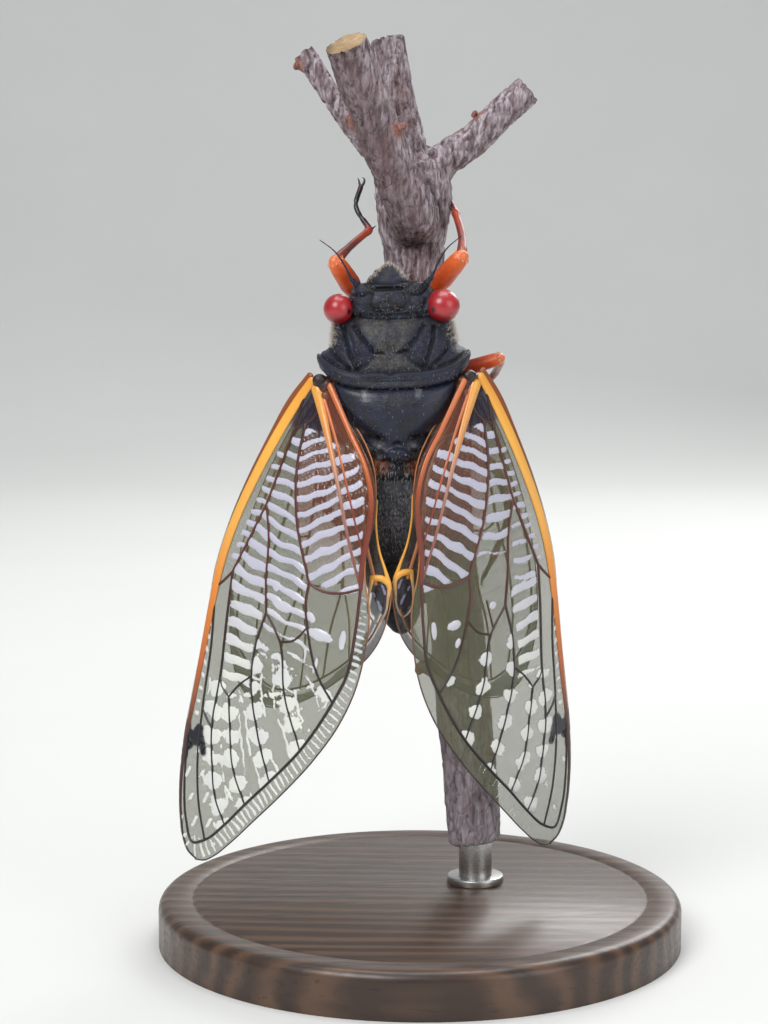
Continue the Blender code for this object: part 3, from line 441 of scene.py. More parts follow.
def barkFinish():
    material, tree = startMaterial("twigBark")
    at = inMillimetres(tree)
    along = inMillimetres(tree, (2.2, 2.2, 0.55), (0, 0.12, 0))
    fibres, patches = clouds(tree, along, 1.25, 4, 0.6, 0.3), clouds(tree, at, 0.5, 4)
    flakes = cells(tree, inMillimetres(tree, (1.5, 1.5, 0.6), (0, 0.12, 0)), 1.0, "DISTANCE_TO_EDGE")
    fine = clouds(tree, at, 11.0, 4, 0.7)
    colour = ramp(tree, fibres, [(0.27, (0.065, 0.040, 0.044)), (0.42, (0.20, 0.145, 0.158)),
                                 (0.54, (0.37, 0.305, 0.332)), (0.72, (0.62, 0.57, 0.61))])
    height = node(tree, "SeparateXYZ", {0: at}).outputs["Z"]
    lower = between(tree, height, 47, 34, 0.0, 0.45)  # the lower stem is smoother and paler
    colour = mixed(tree, lower, colour, (0.47, 0.425, 0.47))
    colour = mixed(tree, between(tree, patches, 0.52, 0.7, 0.0, 0.5), colour, (0.16, 0.066, 0.046))
    colour = mixed(tree, between(tree, flakes, 0.04, 0.0, 0.0, 0.3), colour, (0.022, 0.012, 0.012))
    colour = mixed(tree, between(tree, fine, 0.6, 0.74, 0.0, 0.55), colour, (0.50, 0.45, 0.47))
    # painted shade on the front branch, lighter along its right side
    brown = mixed(tree, fine, (0.045, 0.024, 0.024), (0.20, 0.13, 0.13))
    colour = mixed(tree, maths(tree, "MULTIPLY", mark(tree, "brown"), 0.62), colour, brown)
    # dark bark cracks and ring scar, with painted shade in the fork's hollow and along the front branch's seam
    colour = mixed(tree, mark(tree, "groove"), colour, (0.012, 0.006, 0.006))
    colour = mixed(tree, maths(tree, "MULTIPLY", mark(tree, "warm"), 0.8), colour, (0.30, 0.115, 0.075))
    return finished(material, {"Base Color": colour, "Roughness": 0.82, "Specular IOR Level": 0.3},
                    [(fibres, 0.7, 0.35), (between(tree, flakes, 0.0, 0.1), 0.6, 0.12), (fine, 0.6, 0.06)])


def cutWoodFinish():
    material, tree = startMaterial("cutTwigWood")
    at = inMillimetres(tree)
    fine, broad = clouds(tree, at, 9.0, 4), clouds(tree, at, 1.4, 3)
    colour = mixed(tree, between(tree, broad, 0.3, 0.7), (0.50, 0.36, 0.20), (0.34, 0.22, 0.12))
    colour = mixed(tree, between(tree, fine, 0.5, 0.75, 0.0, 0.6), colour, (0.16, 0.09, 0.05))
    return finished(material, {"Base Color": colour, "Roughness": 0.75}, [(fine, 0.5, 0.08)])


def baseFinish():
    material, tree = startMaterial("darkWoodBase")
    stretched = inMillimetres(tree, (0.06, 0.6, 0.6), (0, 0, 0.3))
    rings = node(tree, "TexWave", {
        "Vector": inMillimetres(tree, (0.02, 0.14, 0.14), (0, 0, 0.3)), "Scale": 1.3, "Distortion": 5.0,
        "Detail": 3.0, "Detail Scale": 1.2}, wave_type="BANDS", bands_direction="Y").outputs["Fac"]
    pores, broad = clouds(tree, stretched, 5.0, 4), clouds(tree, stretched, 0.6, 3)
    colour = ramp(tree, rings, [(0.1, (0.030, 0.014, 0.008)), (0.55, (0.062, 0.030, 0.016)),
                                (0.95, (0.105, 0.054, 0.028))])
    colour = mixed(tree, between(tree, broad, 0.35, 0.7, 0.0, 0.5), colour, (0.045, 0.02, 0.011))
    colour = mixed(tree, between(tree, pores, 0.6, 0.72, 0.0, 0.7), colour, (0.012, 0.006, 0.004))
    rough = between(tree, pores, 0.3, 0.75, 0.34, 0.55)
    return finished(material, {"Base Color": colour, "Roughness": rough, "Coat Weight": 0.3, "Coat Roughness": 0.25},
                    [(rings, 0.12, 0.1), (pores, 0.3, 0.06)])


def steelFinish():
    material, tree = startMaterial("brushedRod")
    lines = clouds(tree, inMillimetres(tree, (1, 1, 26)), 1.0, 4)
    colour = mixed(tree, between(tree, lines, 0.3, 0.7), (0.60, 0.59, 0.57), (0.42, 0.41, 0.40))
    rough = between(tree, lines, 0.3, 0.7, 0.22, 0.4)
    return finished(material, {"Base Color": colour, "Metallic": 1.0, "Roughness": rough}, [(lines, 0.25, 0.02)])


def hairFinish(name, root, tip):
    material, tree = startMaterial(name)
    colour = mixed(tree, mark(tree, "along"), root, tip)
    broad = clouds(tree, inMillimetres(tree), 1.2, 2)
    colour = mixed(tree, between(tree, broad, 0.3, 0.7, 0.0, 0.35), colour, root)
    fine = clouds(tree, inMillimetres(tree), 40.0, 2)
    return finished(material, {"Base Color": colour, "Roughness": 0.45}, [(fine, 0.2, 0.01)])


print("materials ready")

# ---- head ----
head = {
    "sections": [(3.3, 2.5, -1.7, 1.8, 2.4), (3.8, 3.1, -2.15, 2.1, 2.6), (4.2, 3.42, -2.4, 2.35, 2.8),
                 (4.7, 3.32, -2.45, 2.5, 2.8),
                 (5.4, 3.15, -2.3, 2.5, 2.8), (6.0, 2.85, -2.1, 2.2, 2.6), (6.35, 2.3, -1.85, 1.8, 2.4),
                 (6.5, 1.4, -1.3, 1.2, 2.2)],
    "rings": 46, "count": 132, "ocelli": [(0.0, 5.3, 0.16), (-0.46, 4.72, 0.15), (0.46, 4.72, 0.15)],
    "eyes": {"left": ((-3.92, -1.2, 4.6), (1.08, 1.2, 1.1)), "right": ((3.64, -1.2, 4.62), (1.24, 1.28, 1.2))},
    "pupils": {"left": (-3.1, -2.0, 4.42), "right": (2.98, -2.15, 4.42)},
}


def neckSlope(y, z):
    return 0.3 * (y + 2.3) * float(rise(1.9, 3.6, z) * (1 - rise(3.9, 5.6, z)))


def headRelief(x, y, z):
    u, onTop = np.abs(x - insect["midline"]), rise(0.2, -1.0, y)
    depth = 0.36 * crease(lineGap(u, z, [(0, 6.02), (0.9, 6.03), (1.35, 6.2)]), 0.14)  # under the face shield
    depth += 0.26 * crease(lineGap(u, z, [(1.35, 6.2), (1.7, 6.5)]), 0.1)
    depth += 0.26 * crease(lineGap(u, z, [(1.25, 5.9), (1.75, 5.55), (2.4, 5.6), (2.95, 5.95)]), 0.11)  # brow plates
    depth += 0.27 * crease(lineGap(u, z, [(0.5, 4.3), (1.1, 4.55), (1.45, 5.05), (1.25, 5.7)]), 0.13)
    depth += 0.3 * crease(lineGap(u, z, [(2.2, 4.0), (2.5, 4.5), (2.75, 5.1)]), 0.13)  # beside the eyes
    depth += 0.12 * crease(lineGap(u, z, [(0, 3.9), (0, 4.5)]), 0.1) + 0.14 * crease(np.hypot(u - 0.55, z - 4.45), 0.25)
    depth += 0.2 * crease(np.abs(z - 4.02 - 0.05 * u), 0.12)
    depth -= 0.2 * crease(np.hypot(u - 1.95, z - 5.0), 0.42) + 0.22 * crease(np.hypot(u - 2.15, z - 6.1), 0.38)
    depth -= 0.12 * crease(np.hypot(u, z - 5.1), 0.55)
    for cx, cz, radius in head["ocelli"]:
        away = np.hypot(x - insect["midline"] - cx, z - cz)
        depth += 0.1 * crease(away - radius * 1.7, 0.08) - 0.16 * crease(away, radius * 0.9)
    groove = np.clip(depth * 4.0 - 0.3, 0, 0.9)
    dust = 0.35 * crease(np.hypot(u - 1.3, z - 5.9), 0.3) + 0.3 * crease(np.hypot(u, z - 5.85), 0.35) + 0.12
    return depth * onTop, {"groove": groove * onTop, "dust": dust * onTop}


smallEyes = [((insect["midline"] + cx, -2.24 if cx == 0 else -2.36, cz - 0.02), (radius, radius, radius), 10, 14,
              {"warm": 0.35, "groove": 0.5}) for cx, cz, radius in head["ocelli"]]
headSkin = shellPlate("headCapsule", "head", head, backFinish, headRelief, lambda x, y, z: neckSlope(y, z), 0.4,
                      smallEyes)

for side, (centre, radii) in head["eyes"].items():
    bm = newMesh()
    ball(bm, centre, radii, 34, 52)
    pupil = insectPlace @ Vector(head["pupils"][side]) * 1000
    addPiece(f"eye_{side}_globe", bm, eyeFinish(f"redEye_{side}", tuple(pupil)), (f"eye_{side}",), finer=1)

face = {"sections": [(3.9, 0.8, 1.2, 3.0, 2.2), (4.4, 1.3, 0.4, 3.45, 2.2), (5.1, 1.65, -0.4, 3.6, 2.2),
                     (5.8, 1.7, -1.35, 3.4, 2.2), (6.25, 1.62, -1.95, 3.1, 2.3),
                     (6.7, 1.5, -1.95, 2.7, 2.3), (7.1, 1.1, -1.72, 2.1, 2.2), (7.5, 0.6, -1.35, 1.3, 2.0),
                     (7.74, 0.2, -0.9, 0.5, 2.0)],
        "rings": 70, "count": 72}


def faceRelief(x, y, z):
    u = np.abs(x)
    front = rise(-0.6, 0.6, y)
    bars = np.cos(z * 2 * math.pi / 0.42 + u * 1.6) * rise(0.35, 0.6, u) * (1 - rise(1.3, 1.6, u))  # cross ridges
    depth = 0.07 * bars * front + 0.12 * crease(u, 0.14) * front
    depth += (1 - front) * (0.08 * crease(np.abs(z - 6.75 - 0.25 * u), 0.16) - 0.05 * crease(u, 0.3))
    groove, dust = 0.5 * (1 - front) * crease(z - 6.1, 0.12), 0.25 * (1 - front) * rise(6.6, 7.4, z) + 0.1
    return depth, {"groove": groove, "dust": dust}


faceSkin = shellPlate("faceShield", "face", face, backFinish, faceRelief, shift=insect["midline"] * 0.8)

beak = {"path": [(0, 3.35, 4.6), (0, 3.95, 3.4), (0, 4.1, 1.0), (0, 4.0, -2.2)], "steps": 40,
        "girth": ([0, 0.3, 0.32, 0.62, 0.64, 0.96, 1], [0.52, 0.45, 0.38, 0.36, 0.3, 0.26, 0.16])}
legSkin = legFinish()
bm = newMesh(*legMarks)
line, girth = smoothPath(beak["path"], beak["steps"]), taper(beak["steps"], *beak["girth"])
sweep(bm, line, girth, 16, marks={"tone": np.linspace(0.35, 1.0, beak["steps"])})
sweep(bm, line - np.array([0, -0.18, 0]), girth * 0.35, 8, marks={"tone": [0.9] * beak["steps"]})
addPiece("beakSheath", bm, legSkin, ("beak",))

feeler = {"path": [(2.35, -1.2, 6.1), (2.9, -1.3, 6.75), (3.35, -1.4, 7.7), (4.05, -1.3, 8.75), (5.1, -1.2, 9.6)],
          "steps": 60, "girth": ([0, 0.07, 0.1, 0.17, 0.19, 0.3, 1], [0.3, 0.28, 0.22, 0.2, 0.13, 0.075, 0.03])}
for side, out in sides.items():
    bm = newMesh(*shellMarks)
    line = smoothPath([(out * x, y, z) for x, y, z in feeler["path"]], feeler["steps"])
    rings = np.sin(np.linspace(0, 1, feeler["steps"]) * 60) > 0.85  # the joints of the feeler
    sweep(bm, line, taper(feeler["steps"], *feeler["girth"]) * (1 - 0.16 * rings), 10)
    addPiece(f"feeler_{side}", bm, backFinish, (f"antenna_{side}",))
print("head ready")

# ---- thorax ----
pronotum = {
    "sections": [(3.75, 3.3, -2.2, 2.4, 2.6), (3.55, 3.6, -2.5, 2.6, 2.6), (3.1, 4.15, -2.75, 2.9, 2.6),
                 (2.5, 4.35, -2.95, 3.0, 2.6),
                 (1.9, 4.5, -3.1, 3.0, 2.6), (1.3, 4.65, -3.25, 3.0, 2.5), (0.8, 4.9, -3.35, 3.0, 2.5),
                 (0.4, 5.2, -3.42, 3.0, 2.5),
                 (0.1, 5.45, -3.55, 2.9, 2.4), (-0.3, 5.6, -3.78, 2.8, 2.4), (-0.7, 5.5, -3.84, 2.7, 2.4),
                 (-1.0, 5.2, -3.8, 2.6, 2.4),
                 (-1.1, 4.8, -3.6, 2.4, 2.4), (-0.95, 4.3, -3.3, 2.2, 2.4)],
    "rings": 88, "count": 168,
    # lines of (distance from the middle, level), each with its depth and width
    "fissures": [([(2.55, 3.35), (2.25, 2.9), (1.75, 2.2), (1.15, 1.6), (0.55, 1.45)], 0.34, 0.11),
                 ([(3.3, 3.25), (3.2, 2.4), (2.95, 1.5), (2.62, 0.75), (2.5, 0.35)], 0.4, 0.11),
                 ([(2.5, 0.42), (1.9, 0.5), (1.45, 0.8), (1.25, 1.2), (1.35, 1.6)], 0.22, 0.1),
                 ([(4.35, 2.5), (4.2, 1.5), (3.7, 0.9), (2.9, 0.3)], 0.26, 0.11),
                 ([(3.0, 2.9), (2.65, 2.1), (2.5, 1.2)], 0.12, 0.1),
                 ([(2.0, 2.5), (1.95, 2.0), (2.3, 1.6)], 0.09, 0.08)],
}


def collarLift(x):
    return 1.35 * (x / 5.6) ** 4 + 0.15 * (x / 5.6) ** 2


def pronotumBend(x, y, z):
    return collarLift(x) * float(1 - rise(0.15, 3.75, z)) + neckSlope(y, z)


def pronotumRelief(x, y, z):
    u = np.abs(x - insect["midline"])
    lift = collarLift(x)
    zc = z - lift
    depth = 0 * x
    for line, deep, wide in pronotum["fissures"]:
        depth += deep * crease(lineGap(u, z - 0.35 * lift, line), wide)
    depth += 0.2 * crease(zc - 0.18, 0.13) * rise(0.5, 0.9, u + 0.6)  # groove in front of the collar
    depth += 0.13 * (crease(zc + 0.33, 0.09) + crease(zc + 0.55, 0.08)) * (1 - rise(1.5, 2.2, u))
    depth += 0.28 * crease(np.hypot(u / 1.5, zc - 0.0), 0.2) + 0.1 * crease(np.hypot(u, z - 1.75), 0.2)
    depth -= 0.2 * crease(np.hypot((u - 2.1) * 0.9, (z - 1.55) * 0.7), 0.55)
    depth -= 0.16 * crease(np.hypot(u - 3.75, (z - 1.9) * 0.6), 0.42)
    depth -= 0.07 * crease(u - 0.2, 0.12) * rise(0.5, 0.9, z) * (1 - rise(2.9, 3.4, z))
    wrinkle = np.sin(6.5 * u + 2.2 * np.sin(2.6 * z)) * np.sin(5.2 * z + 1.8 * np.sin(3.1 * u))
    lobes = crease(np.hypot((u - 2.1) * 0.9, (z - 1.75) * 0.7), 0.6) + crease(np.hypot(u - 3.75, (z - 1.9) * 0.6), 0.42)
    groove = np.clip((depth - 0.1) * 5.0 + 0.35 * lobes * rise(0.3, 0.9, wrinkle), 0, 0.85)
    depth += 0.06 * wrinkle * lobes
    band = np.interp(z, [0.1, 0.45, 1.5, 2.4, 3.7], [2.4, 1.75, 0.62, 1.35, 2.1])  # the pale waisted middle band
    inBand = ((1 - rise(band - 0.15, band + 0.2, u)) * rise(0.05, 0.4, zc)
              * (1 - 0.55 * crease(u, 0.24) * rise(0.9, 1.5, z)))
    rim = 0.35 * crease(zc + 0.85, 0.35) * (1 - rise(1.0, 4.0, u))
    flank = 0.4 * rise(3.8, 4.4, u) * rise(0.9, 1.6, zc)
    return depth, {"groove": groove, "dust": np.clip(0.85 * inBand + rim + flank + 0.08, 0, 1), "warm": 0 * u}


pronotumSkin = shellPlate("pronotumPlate", "pronotum", pronotum, backFinish, pronotumRelief, pronotumBend, 0.9)

mesonotum = {
    "sections": [(-0.9, 4.4, -3.3, 2.3, 2.6), (-1.4, 4.75, -3.78, 2.4, 2.6), (-1.9, 4.7, -4.0, 2.4, 2.5),
                 (-2.5, 4.5, -4.15, 2.4, 2.4),
                 (-3.2, 4.1, -4.22, 2.4, 2.3), (-3.9, 3.6, -4.17, 2.4, 2.2), (-4.5, 3.1, -4.02, 2.4, 2.2),
                 (-5.0, 2.6, -3.85, 2.4, 2.2),
                 (-5.4, 2.3, -3.7, 2.4, 2.2), (-5.8, 2.0, -3.55, 2.4, 2.2), (-6.2, 1.7, -3.35, 2.3, 2.2),
                 (-6.5, 1.2, -2.9, 2.2, 2.2)],
    "rings": 88, "count": 152,
}


def mesonotumBend(x, y, z):
    return collarLift(x) * float(rise(-4.5, -1.1, z))


def mesonotumRelief(x, y, z):
    u = np.abs(x - insect["midline"] - 0.35)
    knob = np.hypot(u / 0.95, (z + 5.72) / 0.4)
    depth = 0.3 * crease(np.hypot((u - 1.5) / 1.25, z + 4.72), 0.3)  # the two pits
    depth += 0.2 * crease(np.hypot(u / 1.3, z + 5.15), 0.25)
    depth += 0.16 * crease(lineGap(u, z, [(1.0, -5.3), (1.15, -5.75), (0.9, -6.15)]), 0.12)
    depth -= 0.36 * (1 - rise(0.7, 1.08, knob))
    depth -= 0.26 * crease(lineGap(u, z, [(0.9, -5.45), (1.7, -5.2), (2.35, -4.6)]), 0.16)
    depth -= 0.16 * crease(lineGap(u, z, [(0.8, -6.0), (1.5, -6.3)]), 0.16)
    depth += 0.035 * crease(u, 0.1) * rise(-5.0, -4.4, z)
    depth += 0.03 * crease(lineGap(u, z, [(1.0, -1.2), (0.85, -2.4), (0.7, -3.2)]), 0.12)
    for streak in ([(-2.2, -1.2), (-2.15, -1.7)], [(1.65, -1.2), (1.6, -1.7)]):
        depth += 0.06 * crease(lineGap(x, z, streak), 0.2)
    groove = crease(np.hypot((u - 1.5) / 1.3, z + 4.72), 0.3) * 0.95 + 0.7 * crease(np.hypot(u / 1.2, z + 5.13), 0.16)
    silver = crease(np.hypot(u - 1.15, (z + 5.12) * 1.2), 0.32) + crease(np.hypot(u - 1.3, z + 6.1), 0.3)
    # painted highlights: two bright spots at the front of the shield, added to the pale dust mark with the silver hair
    # patches
    gleam = crease(np.hypot(x + 2.2, (z + 1.45) * 0.6), 0.17) + crease(np.hypot(x - 1.65, (z + 1.4) * 0.6), 0.17)
    flank = np.interp(z, [-6.4, -5.0, -3.2, -1.9, -1.2], [1.6, 2.6, 3.7, 4.3, 4.6])
    edge = rise(0.9, 0.3, flank + 0.2 - np.abs(x)) * rise(-1.8, -0.6, y)
    dust = np.clip(0.7 * silver + 1.6 * gleam + 0.02, 0, 1)
    return depth, {"groove": np.clip(groove, 0, 0.95), "dust": dust, "warm": edge}


mesonotumSkin = shellPlate("mesonotumShield", "mesonotum", mesonotum, shieldFinish, mesonotumRelief, mesonotumBend, 0.9)

metanotum = {"sections": [(-6.0, 2.6, -2.3, 2.4, 2.2), (-6.45, 3.15, -2.85, 2.4, 2.2), (-6.9, 3.5, -2.95, 2.4, 2.2),
                          (-7.5, 3.6, -2.75, 2.4, 2.2), (-7.9, 3.1, -2.3, 2.2, 2.2)], "rings": 30, "count": 120}


def metanotumRelief(x, y, z):
    u = np.abs(x)
    depth = 0.12 * crease(z + 6.95, 0.12) - 0.1 * crease(np.hypot(u - 1.0, z + 6.7), 0.3)
    warm = 0.75 * rise(0.3, 1.1, u) * (1 - rise(-7.2, -7.6, z))
    return depth, {"warm": warm, "dust": 0.3 + 0 * u, "groove": 0.4 * crease(z + 6.95, 0.1)}


metanotumSkin = shellPlate("metanotumPlate", "metanotum", metanotum, backFinish, metanotumRelief, below=0.9)

belly = {"sections": [(3.7, 2.2, -0.6, 2.2, 2.4), (3.3, 2.8, -1.0, 2.7, 2.4), (2.4, 3.65, -1.0, 3.15, 2.4),
                      (0.6, 4.15, -1.0, 3.2, 2.4), (-2.0, 4.25, -1.0, 3.28, 2.4),
                      (-5.0, 3.95, -1.0, 3.2, 2.4), (-7.4, 3.2, -1.0, 2.5, 2.4), (-7.9, 2.6, -0.6, 2.0, 2.2)],
         "rings": 84, "count": 108, "sockets": [(2.3, 1.7), (-1.5, 2.0), (-5.2, 1.8)]}


def bellyRelief(x, y, z):
    u = np.abs(x)
    depth = 0 * x
    for level in (2.0, -0.4, -3.6, -6.2):
        depth += 0.16 * crease(z - level - 0.12 * u, 0.14)
    depth += 0.18 * crease(u, 0.16) * rise(1.5, 2.5, y)
    depth -= 0.1 * crease(np.hypot(u - 3.3, z + 2.0), 1.0)
    warm = 0.55 * crease(depth - 0.16, 0.08) * rise(0.5, 1.5, y)
    return depth, {"groove": np.clip(depth * 3, 0, 0.7), "warm": warm, "dust": 0.2 + 0 * u}


bellyKnobs = []
for out in sides.values():  # the cover plates of the drums, and the sockets of the legs
    bellyKnobs.append(((out * 1.75, 2.7, -8.0), (1.4, 0.5, 1.5), 14, 24, {"warm": 0.35, "dust": 0.15}))
    bellyKnobs += [((out * x, 2.85, z), (0.95, 0.65, 1.0), 12, 20, {"warm": 0.25, "dust": 0.2})
                   for z, x in belly["sockets"]]
bellySkin = shellPlate("thoraxBelly", "thorax_underside", belly, abdomenFinish, bellyRelief, knobs=bellyKnobs)

hinge = {"path": [(3.6, -1.3, -1.3), (4.8, -1.65, -1.0), (5.5, -1.8, -0.6)], "steps": 22,
         "girth": ([0, 0.45, 0.6, 0.75, 1], [0.8, 0.86, 0.66, 0.8, 0.5])}
sideFold = {"path": [(4.95, -1.7, -1.5), (4.55, -2.2, -2.6), (3.9, -2.65, -4.0), (3.05, -2.9, -5.2),
                     (2.45, -2.95, -6.2),
                     (2.2, -2.9, -7.1)], "steps": 44, "girth": ([0, 0.3, 1], [0.2, 0.26, 0.13])}
foldSkin = veinFinish("warmVein", [
    (0, (0.78, 0.33, 0.10)), (6, (0.72, 0.27, 0.10)), (10, (0.50, 0.17, 0.07)), (16, (0.24, 0.06, 0.03))])
for side, out in sides.items():
    bm = newMesh(*shellMarks)
    line = smoothPath([(out * x, y, z) for x, y, z in hinge["path"]], hinge["steps"])
    sweep(bm, line, taper(hinge["steps"], *hinge["girth"]), 22, marks={"warm": np.linspace(0.75, 0.0, hinge["steps"])})
    ball(bm, (out * 5.4, -2.0, -0.45), (0.55, 0.45, 0.46), 12, 18, {"groove": 0.75, "warm": 0.2})
    ball(bm, (out * 4.85, -2.2, -0.8), (0.42, 0.35, 0.4), 10, 16, {"warm": 0.4, "groove": 0.55})
    ball(bm, (out * 4.95, -2.2, -1.6), (0.45, 0.35, 0.42), 10, 16, {"warm": 0.55})
    addPiece(f"wingHinge_{side}_knobs", bm, shieldFinish, (f"wing_hinge_{side}",), finer=1)
    bm = newMesh(*veinMarks)  # the warm skin fold beside the middle plate
    line = smoothPath([(out * x, y, z) for x, y, z in sideFold["path"]], sideFold["steps"])
    sweep(bm, line, taper(sideFold["steps"], *sideFold["girth"]), 12,
          marks={"span": np.linspace(2, 12, sideFold["steps"])})
    addPiece(f"sideFold_{side}", bm, foldSkin)
print("thorax ready")

# ---- abdomen ----
abdomen = {"front": -7.8, "rear": -17.6, "segments": 8, "half": 4.1, "back": -2.85, "belly": 2.6, "rings": 132,
           "count": 112}
rows = []
for k in range(abdomen["segments"]):
    z0 = abdomen["front"] + (abdomen["rear"] - abdomen["front"]) * k / abdomen["segments"]
    z1 = abdomen["front"] + (abdomen["rear"] - abdomen["front"]) * (k + 1) / abdomen["segments"]
    for z, swell in ((z0 + 0.0, 0.945), (z0 - 0.12, 0.965), (z0 * 0.6 + z1 * 0.4, 0.992), (z1 + 0.16, 1.0),
                     (z1 + 0.05, 0.985)):
        u = (z - abdomen["front"]) / (abdomen["rear"] - abdomen["front"])
        girth = (1 - 0.62 * u ** 2.2) * (0.9 + 0.1 * float(rise(0, 0.15, u)))
        rows.append((z, abdomen["half"] * girth * swell, abdomen["back"] * girth * swell,
                     abdomen["belly"] * girth * swell + 0.1, 2.15))
abdomen["sections"] = [(-7.3, 3.0, -2.0, 2.0, 2.15)] + rows + [(-17.75, 1.3, -0.8, 1.0, 2.15)]


def abdomenRelief(x, y, z):
    u = (z - abdomen["front"]) / (abdomen["rear"] - abdomen["front"])
    step = (u * abdomen["segments"]) % 1
    dustAndHighlightShare = np.interp(u, [0, 0.06, 0.35, 0.5, 0.62, 1], [0.5, 0.85, 0.85, 0.5, 0.15, 0.05]) * rise(1.5, -1.0, y)
    groove = np.maximum(crease(step - 0.02, 0.05), crease(step - 1.0, 0.03))
    depth = 0.015 * np.sin(x * 9 + 3 * np.sin(z * 5)) * np.sin(z * 8 + x * 2)
    return depth, {"dust": dustAndHighlightShare, "groove": 0.8 * groove, "warm": 0.3 * rise(0.8, 2.0, y) * crease(step, 0.12)}


abdomenSkin = shellPlate("abdomenRings", "abdomen", abdomen, abdomenFinish, abdomenRelief)

tail = {"sections": [(-17.3, 1.3, -0.8, 1.0, 2.1), (-17.9, 1.45, -0.95, 1.1, 2.1), (-18.4, 1.3, -0.75, 1.15, 2.1),
                     (-19.1, 0.85, -0.35, 0.95, 2.0), (-19.5, 0.4, 0.05, 0.7, 2.0), (-19.6, 0.15, 0.25, 0.5, 2.0)],
        "rings": 36, "count": 56, "ring": -18.5}


def tailRelief(x, y, z):
    ring = z - tail["ring"]
    return 0.05 * crease(ring, 0.08), {"groove": 0.5 * crease(ring, 0.1), "dust": 0.1 + 0 * x}


shellPlate("tailCone", "abdomen_tip", tail, abdomenFinish, tailRelief).free()
print("abdomen ready")

# ---- wings ----
wing = {
    "root": (-1.6, -0.35), "camber": 1.3, "camberCentre": 2.5, "camberHalfChord": 7.2, "hindDrop": 1.3, "mapShift": 6,
    "thick": 0.035, "ripple": 0.035,
    # strokes of the dark spot near the tip, each with its half width
    "spot": [([(27.8, -3.5), (30.1, -3.1)], 0.42), ([(29.2, -2.9), (27.7, -2.3)], 0.42),
             ([(27.7, -2.3), (29.2, -1.45)], 0.33), ([(28.3, -3.2), (28.7, -2.3)], 0.4)],
    # how far out the root is, then splay, drop towards the twig and roof slope, in degrees
    "left": (5.85, 15.9, 3.0, 34.0), "right": (6.15, 7.8, 9.4, 38.6),
}
costalMargin = [(-0.1, -0.6), (1.9, -1.6), (4.9, -2.6), (8.6, -3.6), (11.8, -4.2), (15.5, -4.5), (19.8, -4.1),
                (24.9, -3.8), (29.0, -3.5), (32.3, -2.9), (34.6, -2.15), (36.1, -1.4), (36.85, -0.65), (37.1, 0.2)]
rearMargin = [(0.0, 1.9), (2.0, 3.75), (3.4, 5.45), (4.8, 6.8), (6.9, 7.9), (8.8, 8.15), (10.4, 8.0), (12.0, 8.4),
              (13.2, 8.9), (13.9, 9.3), (15.3, 9.8),
              (17.5, 10.1), (20.5, 10.1), (23.2, 9.5), (26.2, 8.2), (29.8, 6.1), (32.4, 4.4), (34.9, 2.75),
              (36.2, 1.75), (36.85, 1.0), (37.1, 0.2)]
forewingVeins = {  # points of span and chord in mm, then the radius at root and tip
    "basalFront": ([(0.4, -0.3), (2.4, -0.5), (3.8, -0.5)], 0.13, 0.12),
    "basalRear": ([(0.6, 0.5), (2.3, 1.0), (3.3, 0.3), (3.8, -0.5)], 0.12, 0.12),
    "media": ([(3.8, -0.5), (7.0, -0.9), (9.8, -1.3)], 0.13, 0.12),
    "mediaOuter": ([(9.8, -1.3), (12.9, -2.1), (15.5, -2.8)], 0.12, 0.115),
    "node": ([(15.5, -2.8), (16.3, -3.3), (17.2, -4.0)], 0.1, 0.12),
    "radialSector": ([(17.2, -4.0), (21.4, -3.1), (26.0, -2.5), (29.9, -1.8), (33.3, -0.6), (35.4, 0.6)], 0.1, 0.085),
    "radialCross": ([(26.0, -2.5), (26.6, -2.0), (27.2, -1.2)], 0.09, 0.09),
    "media1": ([(15.5, -2.8), (18.4, -2.4), (23.3, -1.6), (27.2, -1.2), (29.7, -0.4), (32.0, 0.6), (33.6, 2.0)], 0.115,
               0.09),
    "mediaCross": ([(23.3, -1.6), (23.9, -1.2), (24.4, -0.4)], 0.09, 0.09),
    "mediaCrossRear": ([(22.2, 1.1), (23.4, 0.1), (24.4, -0.4)], 0.09, 0.09),
    "media2": ([(24.4, -0.4), (26.6, 0.4), (29.3, 1.5), (31.5, 3.3)], 0.1, 0.09),
    "mediaInner": ([(9.8, -1.3), (12.0, -0.4), (15.1, 0.3), (17.3, 1.0)], 0.12, 0.11),
    "media3": ([(17.3, 1.0), (19.9, 0.8), (22.2, 1.1), (26.1, 2.9), (29.1, 4.9)], 0.11, 0.09),
    "media4": ([(17.3, 1.0), (19.0, 2.8), (22.5, 4.3), (26.0, 6.8)], 0.1, 0.09),
    "cubitalCross": ([(19.0, 2.8), (18.5, 3.9), (17.2, 4.8)], 0.09, 0.09),
    "cubitus": ([(3.3, 0.3), (6.3, 0.5), (10.0, 1.6), (14.1, 4.0)], 0.14, 0.12),
    "cubitus1": ([(14.1, 4.0), (15.4, 4.1), (17.2, 4.8), (20.3, 6.7), (21.8, 8.5)], 0.12, 0.1),
    "cubitus2": ([(14.1, 4.0), (14.3, 5.2), (14.0, 6.8), (13.2, 8.4)], 0.11, 0.11),
    "ambient": ([(13.2, 8.4), (16.5, 8.9), (19.5, 9.1), (21.8, 8.5), (26.0, 6.8), (29.1, 4.9), (31.5, 3.3), (33.6, 2.0),
                 (35.4, 0.6), (36.0, -0.4), (34.6, -1.5), (32.2, -2.4), (28.5, -3.2)], 0.12, 0.09),
}
